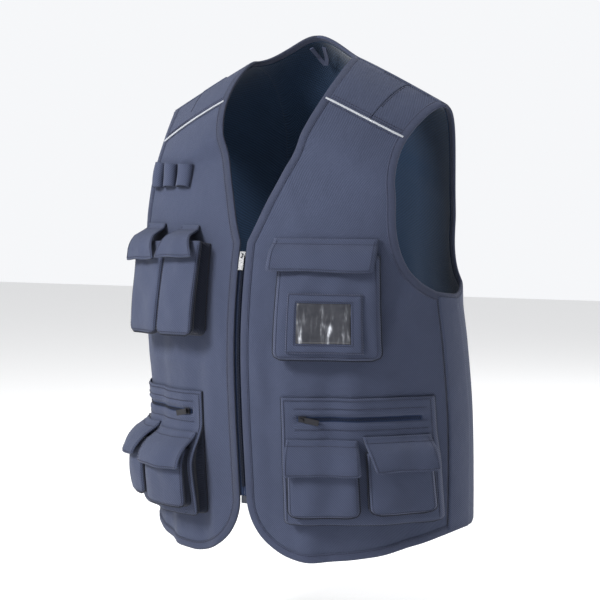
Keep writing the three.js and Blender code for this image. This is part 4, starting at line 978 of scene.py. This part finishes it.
class BlockBook:
    """Collects many small blocks into one mesh."""

    def __init__(self, profile=BLOCK_PROFILE):
        self.profile = profile
        self.vertices = []

    def add(self, centres, normals, runs, size):
        """Blocks as long as size[0] on runs, wide size[1] across and high size[2] out."""
        runs = runs / np.maximum(np.linalg.norm(runs, axis=1, keepdims=True), 1e-6)
        across = np.cross(normals, runs)
        corners = []
        for end in (-0.5, 0.5):
            for wide, high in self.profile:
                corners.append(centres + runs * end * size[0] + across * wide * size[1]
                               + normals * high * size[2])
        self.vertices.append(np.stack(corners, axis=1).reshape(-1, 3) * MM)

    def finish(self, name, material, slot, smooth=False):
        vertices = np.concatenate(self.vertices)
        starts = np.arange(0, len(vertices), 8)[:, None, None]
        mesh_piece(name, vertices, (BLOCK_FACES[None] + starts).reshape(-1, 4), material,
                   smooth=smooth)


class Stitching(BlockBook):
    """The sewn lines of one part of the vest, gathered into a single mesh."""

    def __init__(self, name):
        super().__init__(STITCH_PROFILE)
        sizes = bpy.context.scene.vest_sizes
        self.name = name
        self.pitch = sizes.stitch_pitch / MM
        self.size = (sizes.stitch_length / MM, STITCH_WIDTH, STITCH_HEIGHT)

    def along(self, points, normals):
        """Small stitches along a line of points."""
        along = lengths_along(points)
        count = max(int(along[-1] / self.pitch), 1)
        centres = (np.arange(count) + 0.5) * along[-1] / count
        at = lambda places, values: np.stack([np.interp(places, along, part) for part in values.T], axis=1)
        runs = at(centres + 0.5, points) - at(centres - 0.5, points)
        self.add(at(centres, points), at(centres, normals), runs, self.size)

    def on_spots(self, side, spots, out):
        self.along(at_spots(side, spots, out), form_normal(side, spots[:, 0], spots[:, 1]))

    def on_places(self, side, x, fall, lift):
        self.on_spots(side, line(*spot_at(x, fall)), lift)

    def on_panel(self, side, corners, floor, steps):
        """A line through corners given as distance from the middle and fall."""
        corners = np.asarray(corners, float)
        x = fine(corners[:, 0], steps)
        fall = fine(corners[:, 1], steps)
        self.on_places(side, x, fall, floor(fall))

    def around(self, side, x, fall, lift, top=True):
        """A line inside the sides and the foot of a grid of places, and one along its top."""
        inside = lambda grid: np.concatenate([grid[1:-1, 1], grid[-2, 1:-1], grid[1:-1, -2][::-1]])
        self.on_places(side, inside(x), inside(fall), inside(lift) + STITCH_LIFT)
        if top:
            self.on_places(side, x[TOP_SEAM_ROW], fall[TOP_SEAM_ROW], lift[TOP_SEAM_ROW] + STITCH_LIFT)

    def finish(self):
        super().finish(self.name, "thread", "twill", smooth=True)


def patch_lift(pocket, fall):
    """How far the lower pocket's patch stands out at a fall."""
    share = (np.asarray(fall, float) - PATCH["top"]) / (PATCH["bottom"] - PATCH["top"])
    belly, foot = pocket["belly"], pocket["foot"]
    swell = smoothstep(share, 0.24, 0.58)
    return SEAT + SHEET_LIFT + (belly - SHEET_LIFT) * swell + (foot - belly) * smoothstep(share, 0.6, 1)


def window_floor(fall):
    """How far the left chest bag's face stands out at a fall, with room for the window."""
    share = (fall - CHEST_LEFT["top"]) / (CHEST_LEFT["bottom"] - CHEST_LEFT["top"])
    return CHEST_LEFT["mouth"] + (CHEST_LEFT["base"] - CHEST_LEFT["mouth"]) * share + WINDOW_LIFT


def flat_floor(fall):
    return np.zeros(np.shape(fall)) + SEAT


def chest_depth(box):
    return lambda v: box["mouth"] + (box["base"] - box["mouth"]) * v - SEAT


def box_grid(box, inset, across, down):
    """A grid of x and fall over a box, moved in from its sides."""
    x = np.linspace(box["inner"] + inset, box["outer"] - inset, across)[None]
    fall = np.linspace(box["top"] + inset, box["bottom"] - inset, down)[:, None]
    return np.broadcast_arrays(x, fall)


def round_inset(below, corner):
    """How far a round lower corner cuts in, below millimetres under its start."""
    share = np.clip(below / corner, 0, 1)
    return corner * (1 - np.sqrt(1 - share * share))


def rounded_grid(box, across, down, corner):
    """A grid of x, fall and their shares over a box whose two lower corners are round."""
    u = np.linspace(0, 1, across)[None]
    v = np.linspace(0, 1, down)[:, None]
    v = v * (1.25 - 0.25 * v)
    fall = box["top"] + (box["bottom"] - box["top"]) * v
    inset = round_inset(fall - (box["bottom"] - corner), corner)
    x = (box["inner"] + inset) * (1 - u) + (box["outer"] - inset) * u
    return np.broadcast_arrays(x, fall, u, v)


def border(grid):
    """The values of a grid down one side, along its foot and up the other side."""
    return np.concatenate([grid[:, 0], grid[-1, 1:-1], grid[::-1, -1]])


def border_of(rows, side_value, foot):
    """Values for a border: one for each side, the first side's less than nought, and the foot's own."""
    return np.concatenate([np.full(rows, -side_value), foot, np.full(rows, side_value)])


def gusset_piece(name, side, rows, thickness, narrowest=0.0):
    """A strip of the gusset cloth, darkened as painted shade for the pleats, over rows of points; its size
    when flat is worked out.
    """
    strip = np.stack(rows)
    piece = grid_piece(name, strip, "gusset", thickness, flip=side < 0)
    length = float(lengths_along(strip[0])[-1])
    declare_cloth(length, max(grid_area(strip) / MM / MM / length, narrowest))


def make_bag(name, side, box, floor, depth, cad, pleat):
    """A bellows bag: a pillowed face, and a pleated gusset round its sides and foot, which stand on floor."""
    x, fall, u, v = rounded_grid(box, BAG_STEPS, BAG_STEPS, BAG_CORNER)
    puff = np.sin(np.pi * u) ** 0.55 * np.sin(np.pi * np.clip(0.12 + 0.88 * v, 0, 1)) ** 0.6
    wrinkle = 1.2 * np.sin(x * 0.13 + 1.3 * side) * np.sin(fall * 0.09 + x * 0.03) * puff
    rim = BAG_ROLL * (np.minimum(np.minimum(u, 1 - u) * 14, 1) * np.minimum((1 - v) * 14, 1))
    lift = floor(fall) + depth(v) + BAG_PILLOW * puff + wrinkle + rim - BAG_ROLL
    cloth_piece(name + "_face", panel(side, x, fall, lift), "twill", BAG_CLOTH,
                box["outer"] - box["inner"] + BAG_SEAMS[0], box["bottom"] - box["top"] + BAG_SEAMS[1],
                cad=cad, flip=side > 0, rests_on=[name + "_gusset"])
    seams = Stitching(name + "_stitches")
    seams.around(side, x, fall, lift, top=False)
    seams.finish()
    border_x = border(x)
    border_fall = border(fall)
    border_lift = border(lift) - 0.5
    out_x = border_of(BAG_STEPS, 1.0, np.linspace(-1, 1, BAG_STEPS)[1:-1])
    out_x = np.where(np.abs(out_x) > 0.93, np.sign(out_x), out_x * 0.15)
    near_foot = smoothstep(border_fall, box["bottom"] - BAG_CORNER, box["bottom"])
    out_fall = np.maximum(border_of(BAG_STEPS, 0.0, np.ones(BAG_STEPS - 2)), near_foot * 0.7)
    rows = []
    for share in np.linspace(0, 1, 11):
        tuck = -pleat * math.sin(math.pi * share) ** 1.5 * (1 - 0.25 * math.sin(4 * math.pi * share))
        spread = tuck + 0.6
        row_fall = border_fall + out_fall * spread
        base = floor(row_fall) + 0.5
        row_lift = border_lift + (base - border_lift) * share
        rows.append(panel(side, border_x + out_x * spread, row_fall, row_lift))
    gusset_piece(name + "_gusset", side, rows, 1.1)


def make_flap(name, side, flap, floor, cad):
    """A sewn flap: flat along its top, then out over the bag, with its lower edge a little wavy."""
    v = np.linspace(0, 1, FLAP_ROWS)[:, None]
    u = np.linspace(0, 1, FLAP_COLUMNS)[None]
    inner = flap["inner"] + (flap["low_inner"] - flap["inner"]) * v
    outer = flap["outer"] + (flap["low_outer"] - flap["outer"]) * v
    tall = flap["bottom"] - flap["top"]
    inset = round_inset(v * tall - (tall - FLAP_CORNER), FLAP_CORNER) * 0.8
    x = (inner + inset) * (1 - u) + (outer - inset) * u
    fall = flap["top"] + tall * v + 0.5 * np.sin(u * 9 + side) * v * v
    end = floor(np.array(flap["bottom"]))
    reach = np.interp(v, *FLAP_PROFILE) * 0.7 + 0.3 * smoothstep(v, 0.0, 0.6)
    wave = (0.9 * np.sin(u * 7.3 + 2 * side) + 0.5 * np.sin(u * 15 + 1)) * v ** 2
    flare = flap["flare"]
    lift = floor(fall) + FLAP_SEAT + (flare - end - FLAP_SEAT) * reach + wave * np.minimum(flare / 30, 1)
    points = panel(side, x, fall, lift)
    width = max(flap["outer"] - flap["inner"], flap["low_outer"] - flap["low_inner"]) + 4
    length = max(tall, grid_area(points) / MM / MM / width * 1.02)
    cloth_piece(name, points, "twill", FLAP_CLOTH, width, length, cad=cad, flip=side > 0,
                rests_on=[name + "_stitches"])
    stitches = Stitching(name + "_stitches")
    stitches.around(side, x, fall, lift)
    stitches.finish()


class VEST_OT_chest_pockets(bpy.types.Operator):
    """Makes the chest pockets with their flaps and the card window"""
    bl_idname = "vest.chest_pockets"
    bl_label = "Chest pockets"

    def execute(self, context):
        make_bag("chest_pocket_left", 1, CHEST_LEFT, flat_floor, chest_depth(CHEST_LEFT),
                 ["chest_pocket_left_bag"], 4.0)
        make_flap("flap_chest_left", 1, CHEST_LEFT_FLAP, flat_floor, ["chest_pocket_left_flap"])
        split = CHEST_RIGHT["split"]
        cells = (("inner", CHEST_RIGHT["inner"], split - 0.5, 6.0),
                 ("outer", split + 1.5, CHEST_RIGHT["outer"], 2.0))
        for name, inner, outer, pleat in cells:
            box = dict(CHEST_RIGHT, inner=inner, outer=outer)
            make_bag(f"chest_pocket_right_{name}", -1, box, flat_floor, chest_depth(CHEST_RIGHT),
                     [f"chest_pocket_right_bag_{name}"], pleat)
        for flap in CHEST_RIGHT_FLAPS:
            make_flap(f"flap_chest_right_{flap['name']}", -1, flap, flat_floor,
                      [f"chest_pocket_right_flap_{flap['name']}"])
        self.window()
        return {"FINISHED"}

    def window(self):
        x, fall = box_grid(WINDOW, 0, 34, 30)
        near = np.minimum.reduce([x - WINDOW["inner"], WINDOW["outer"] - x, fall - WINDOW["top"],
                                  WINDOW["bottom"] - fall])
        lift = window_floor(fall) + 0.4 + 0.9 * smoothstep(near, 0, 3) - 1.1 * smoothstep(near, 9.5, 12)
        cloth_piece("window_patch_cloth", panel(1, x, fall, lift), "twill", 0.8,
                    WINDOW["outer"] - WINDOW["inner"], WINDOW["bottom"] - WINDOW["top"], cad=["window_patch"],
                    flip=True, rests_on=["chest_pocket_left_face"])
        x, fall = box_grid(WINDOW, WINDOW_FRAME, 24, 20)
        lift = window_floor(fall) + 0.75 + 0.25 * np.sin(x * 0.11) * np.sin(fall * 0.17)
        grid_piece("window_film_sheet", panel(1, x, fall, lift), "clear_film", 0.4, cad=["window_film"],
                   flip=True)


class VEST_OT_lower_pockets(bpy.types.Operator):
    """Makes the lower pockets: patch, zip slot, bags and flaps"""
    bl_idname = "vest.lower_pockets"
    bl_label = "Lower pockets"

    def execute(self, context):
        for spec in LOWER_SIDES:
            self.patch(spec)
            self.slot_zip(spec)
            floor = lambda fall, spec=spec: patch_lift(spec, fall) + 0.4
            depth = lambda v, spec=spec: spec["bag"] * (MOUTH_SHARE + (1 - MOUTH_SHARE) * v)
            for bag in LOWER_BAGS:
                sort = bag["name"]
                pocket = f"lower_pocket_{spec['name']}"
                make_bag(f"{pocket}_{sort}", spec["side"], bag, floor, depth, [f"{pocket}_bag_{sort}"], 3.0)
                inner, outer = bag["inner"] - OVERHANG, bag["outer"] + OVERHANG
                flap = dict(inner=inner, outer=outer, low_inner=inner + bag["slant"], low_outer=outer,
                            top=bag["flap_top"], bottom=bag["flap_bottom"], flare=spec["flare"])
                make_flap(f"flap_lower_{spec['name']}_{sort}", spec["side"], flap, floor,
                          [f"{pocket}_flap_{sort}"])
        return {"FINISHED"}

    def patch(self, spec):
        """The patch's face, with the zip slot and its welts pressed in, and its gusset."""
        side = spec["side"]
        x, fall, u, v = rounded_grid(PATCH, 60, 72, PATCH_CORNER)
        slot_top, slot_bottom = SLOT["top"] + WELT, SLOT["bottom"] - WELT
        welt = np.minimum(np.abs(fall - slot_top + WELT_FOLD), np.abs(fall - slot_bottom - WELT_FOLD))
        across = smoothstep(x, SLOT["inner"] - 3, SLOT["inner"])
        across = across * (1 - smoothstep(x, SLOT["outer"], SLOT["outer"] + 3))
        inside = across * smoothstep(fall, slot_top, slot_top + WELT_FOLD)
        inside = inside * (1 - smoothstep(fall, slot_bottom - WELT_FOLD, slot_bottom))
        puff = np.sin(np.pi * u) ** 0.4 * smoothstep(v, 0.3, 0.6) * smoothstep(1 - v, 0, 0.08)
        edge = np.minimum(np.minimum(u, 1 - u) * 30, 1) * np.minimum((1 - v) * 30, 1) * np.minimum(v * 40, 1)
        lift = (patch_lift(spec, fall) + 1.3 * np.exp(-welt * welt / 3.0) * across
                - (SHEET_LIFT - 0.6) * inside + puff - 1.2 * (1 - edge))
        name = f"lower_pocket_{spec['name']}_patch"
        cloth_piece(name + "_face", panel(side, x, fall, lift), "twill", 0.9, *PATCH_FLAT, cad=[name],
                    flip=side > 0, rests_on=[f"cloth_front_{spec['name']}"])
        border_x = border(x)
        border_fall = border(fall)
        border_lift = border(lift) - 0.4
        foot = x.shape[1] - 2
        sideways = border_of(len(x), 1.0, np.zeros(foot))
        downways = border_of(len(x), 0.0, np.ones(foot))
        deep = np.clip((border_lift - 4) / 10, 0, 1)
        rows = []
        for share in np.linspace(0, 1, 13):
            tuck = -6.0 * deep * math.sin(math.pi * share) ** 1.3 + 1.0 * deep * math.sin(3 * math.pi * share)
            rows.append(panel(side, border_x + sideways * tuck, border_fall + downways * tuck,
                              border_lift * (1 - share) + 0.3 * share))
        gusset_piece(name + "_gusset", side, rows, 1.0, 10.1)

    def slot_zip(self, spec):
        side = spec["side"]
        x, fall = box_grid(SLOT, 0.5, 50, 13)
        middle = (SLOT["top"] + SLOT["bottom"]) / 2
        lift = SEAT + 1.1 + 0.4 * np.exp(-((fall - middle) / 2.2) ** 2)
        grid_piece(f"lower_zip_{spec['name']}_tape", panel(side, x, fall, lift), "zip_tape", 0.9,
                   cad=[f"lower_pocket_{spec['name']}_tape"], flip=side > 0)
        teeth_x = np.arange(SLOT["inner"] + 2, SLOT["outer"] - 2, 1.6)
        book = BlockBook()
        for row, shift in ((middle - 0.9, 0.0), (middle + 0.9, 0.8)):
            turn, down = spot_at(teeth_x + shift, np.full(len(teeth_x), row))
            centres = cloth(side, turn, down, SEAT + 1.7)
            book.add(centres, form_normal(side, turn, down), np.gradient(centres, axis=0), COIL_SIZE)
        book.finish(f"lower_zip_{spec['name']}_coil", "zip_coil", "zip_tape")


class VEST_OT_trims(bpy.types.Operator):
    """Makes the front zip and the pen loops"""
    bl_idname = "vest.trims"
    bl_label = "Zip and trims"

    def execute(self, context):
        self.front_zip()
        self.pen_loops()
        return {"FINISHED"}

    def front_zip(self):
        down = np.linspace(ZIP_TOP, HEM_CORNER_TOP, 140)
        tape_out = -CLOTH - 1.1
        for name, side in SIDES:
            x, ways = np.broadcast_arrays(np.linspace(0.3, 14.0, 12)[None], down[:, None])
            points = cloth(side, turn_at(x, ways), ways, tape_out)
            grid_piece(f"front_zip_{name}_tape", points, "zip_tape", 0.8, cad=[f"zip_{name}"], flip=side > 0)
        along = lengths_along(cloth(1, turn_at(np.full(len(down), 0.2), down), down, 0.0))
        book = BlockBook()
        for name, side in SIDES:
            places = np.arange(8.0 + (TOOTH_PITCH / 2 if side < 0 else 0), along[-1] - 12, TOOTH_PITCH)
            ways = np.interp(places, along, down)
            turn = turn_at(np.full(len(ways), 1.15), ways)
            centres = cloth(side, turn, ways, tape_out + 1.0)
            book.add(centres, form_normal(side, turn, ways), np.gradient(centres, axis=0), TOOTH_SIZE)
        book.finish("front_zip_teeth", "zip_coil", "zip_tape")

    def pen_loops(self):
        arch = np.linspace(0, np.pi, 25)[None]
        fall = np.linspace(PEN_LOOP_TOP, PEN_LOOP_TOP + PEN_LOOP_HEIGHT, 14)[:, None]
        for place, (inner, outer) in enumerate(PEN_LOOPS):
            x = (inner + outer) / 2 - (outer - inner) / 2 * np.cos(arch)
            lift = 1.3 + 8.5 * np.sin(arch) ** 0.8 + 0 * fall
            points = panel(-1, x, fall, lift)
            width = grid_area(points) / MM / MM / PEN_LOOP_HEIGHT
            cloth_piece(f"pen_loop_cloth_{place + 1}", points, "twill", 1.4, width, PEN_LOOP_HEIGHT + 1,
                        cad=[f"pen_loop_{place + 1}"], rests_on=["cloth_front_right"])


class VEST_OT_stitching(bpy.types.Operator):
    """Makes the stitched lines along the bindings, the piping and the pockets"""
    bl_idname = "vest.stitching"
    bl_label = "Stitching"

    def execute(self, context):
        self.bindings()
        self.piping()
        self.pockets()
        return {"FINISHED"}

    def bindings(self):
        for name, side in SIDES:
            stitches = Stitching(f"binding_stitches_{name}")
            for edge, inset in (edge_and_inset(outline_line), edge_and_inset(arm_line)):
                stitches.on_spots(side, edge + (inset - edge) * 0.83, 0.75)
            stitches.finish()

    def piping(self):
        whole = front_grid(edges_at(PANEL_TUCK))
        yoke, front = whole[YOKE_END], whole[FRONT_START]
        for name, side in SIDES:
            stitches = Stitching(f"yoke_stitches_{name}")
            for rise, spots, out in ((-3.0, yoke, 1.1), (-7.0, yoke, 1.1), (2.6, front, 0.2)):
                stitches.on_spots(side, spots[3:-3] + [0, rise / WAY_LENGTH], out)
            seam = whole[FINE:YOKE_END - 6, YOKE_SPLIT * FINE]
            stitches.on_spots(side, seam + [0.6, 0], 0.6)
            stitches.finish()

    def pockets(self):
        inner, outer = PATCH["inner"] + 3.5, PATCH["outer"] - 3.5
        top, bottom = PATCH["top"] + 3.5, PATCH["bottom"] - 4
        for spec in LOWER_SIDES:
            side = spec["side"]
            stitches = Stitching(f"lower_pocket_{spec['name']}_stitches")
            floor = lambda fall, spec=spec: patch_lift(spec, fall) + 0.3
            stitches.on_panel(side, [(inner, bottom), (inner, top), (outer, top), (outer, bottom)], floor, 40)
            for fall in (SLOT["top"] - 4.5, SLOT["bottom"] + 4.5):
                stitches.on_panel(side, [(SLOT["inner"] - 3, fall), (SLOT["outer"] + 3, fall)], floor, 60)
            stitches.finish()
        stitches = Stitching("chest_left_stitches")
        for inset in (1.6, 9.8):
            low_x, high_x = WINDOW["inner"] + inset, WINDOW["outer"] - inset
            low, high = WINDOW["top"] + inset, WINDOW["bottom"] - inset
            ring = [(low_x, low), (high_x, low), (high_x, high), (low_x, high), (low_x, low)]
            stitches.on_panel(1, ring, lambda fall: window_floor(fall) + 1.35, 40)
        stitches.finish()


class VEST_OT_stage(bpy.types.Operator):
    """Makes the floor, the lights and the camera"""
    bl_idname = "vest.stage"
    bl_label = "Stage"

    def execute(self, context):
        settings = context.scene.vest_stage
        recipe = Recipe("floor", Roughness=0.9, Emission_Strength=FLOOR_GLOW, Emission_Color=(1, 1, 1, 1),
                        Base_Color=(*settings.floor_colour, 1))
        bpy.ops.mesh.primitive_plane_add(size=FLOOR_SIZE, location=(0, 0, CAD_LOW.z - FLOOR_DROP))
        floor = context.object
        floor.name = "floor"
        floor.data.materials.append(recipe.material)
        for name, place, size, power in (("key", (-1.3, -2.3, 1.5), 0.9, settings.key_power),
                                         ("fill", (-2.4, -1.6, 0.5), 2.2, settings.fill_power),
                                         ("rim", (1.2, 2.2, 1.2), 1.2, settings.rim_power)):
            light = bpy.data.lights.new(name, "AREA")
            light.size = size
            light.energy = power
            lamp = bpy.data.objects.new(name, light)
            lamp.location = place
            lamp.rotation_euler = (LIGHT_AIM - Vector(place)).to_track_quat("-Z", "Y").to_euler()
            context.scene.collection.objects.link(lamp)
        self.studio(context, settings)
        context.scene.view_settings.view_transform = "Standard"
        camera = bpy.data.cameras.new("camera")
        camera.lens = CAMERA_LENS
        camera.shift_x, camera.shift_y = CAMERA_SHIFT
        viewer = bpy.data.objects.new("camera", camera)
        azimuth, elevation = math.radians(VIEW_AZIMUTH), math.radians(VIEW_ELEVATION)
        back = Vector((math.sin(azimuth) * math.cos(elevation), -math.cos(azimuth) * math.cos(elevation),
                       math.sin(elevation)))
        viewer.location = VIEW_CENTRE + back * VIEW_DISTANCE
        viewer.rotation_euler = (-back).to_track_quat("-Z", "Y").to_euler()
        context.scene.collection.objects.link(viewer)
        context.scene.camera = viewer
        return {"FINISHED"}

    def studio(self, context, settings):
        """Pale walls, brightest behind the vest."""
        world = bpy.data.worlds.new("studio")
        world.use_nodes = True
        context.scene.world = world
        recipe = StudioRecipe(world)
        azimuth = math.radians(VIEW_AZIMUTH)
        behind = (-math.sin(azimuth), math.cos(azimuth), 0)
        where = recipe.node("ShaderNodeTexCoord").outputs["Generated"]
        facing = recipe.node("ShaderNodeVectorMath", {"operation": "DOT_PRODUCT"}, {0: where, 1: behind})
        share = recipe.node("ShaderNodeMapRange", {"interpolation_type": "SMOOTHSTEP"},
                            {"Value": facing.outputs["Value"], "From Min": 0.25, "From Max": 0.9,
                             "To Min": settings.sky, "To Max": settings.wall})
        recipe.background.inputs["Color"].default_value = (0.97, 0.98, 1.0, 1)
        recipe.feed(recipe.background.inputs["Strength"], share.outputs[0])


class StudioRecipe(Recipe):
    """The nodes of a world in place of a material."""

    def __init__(self, world):
        self.tree = world.node_tree
        self.background = self.tree.nodes["Background"]


class VEST_PT_panel(bpy.types.Panel):
    """The vest's settings and its steps"""
    bl_idname = "VEST_PT_panel"
    bl_label = "Work Vest"
    bl_space_type = "VIEW_3D"
    bl_region_type = "UI"
    bl_category = "Work Vest"

    def draw(self, context):
        scene = context.scene
        for group in (scene.vest_colours, scene.vest_sizes, scene.vest_stage):
            for key in group.__annotations__:
                self.layout.prop(group, key)
        for step in STEPS:
            self.layout.operator(step.bl_idname)


STEPS = (VEST_OT_materials, VEST_OT_panels, VEST_OT_linings, VEST_OT_bindings, VEST_OT_chest_pockets,
         VEST_OT_lower_pockets, VEST_OT_trims, VEST_OT_stitching, VEST_OT_stage)
CLASSES = (VestColours, VestSizes, StageSettings, *STEPS, VEST_PT_panel)


def register():
    for each in CLASSES:
        bpy.utils.register_class(each)
    bpy.types.Scene.vest_colours = bpy.props.PointerProperty(type=VestColours)
    bpy.types.Scene.vest_sizes = bpy.props.PointerProperty(type=VestSizes)
    bpy.types.Scene.vest_stage = bpy.props.PointerProperty(type=StageSettings)


def unregister():
    del bpy.types.Scene.vest_stage
    del bpy.types.Scene.vest_sizes
    del bpy.types.Scene.vest_colours
    for each in reversed(CLASSES):
        bpy.utils.unregister_class(each)


def main():
    register()
    bpy.ops.vest.materials()
    bpy.ops.vest.panels()
    bpy.ops.vest.linings()
    bpy.ops.vest.bindings()
    bpy.ops.vest.chest_pockets()
    bpy.ops.vest.lower_pockets()
    bpy.ops.vest.trims()
    bpy.ops.vest.stitching()
    bpy.ops.vest.stage()
    bpy.context.view_layer.update()


if __name__ == "__main__":
    main()
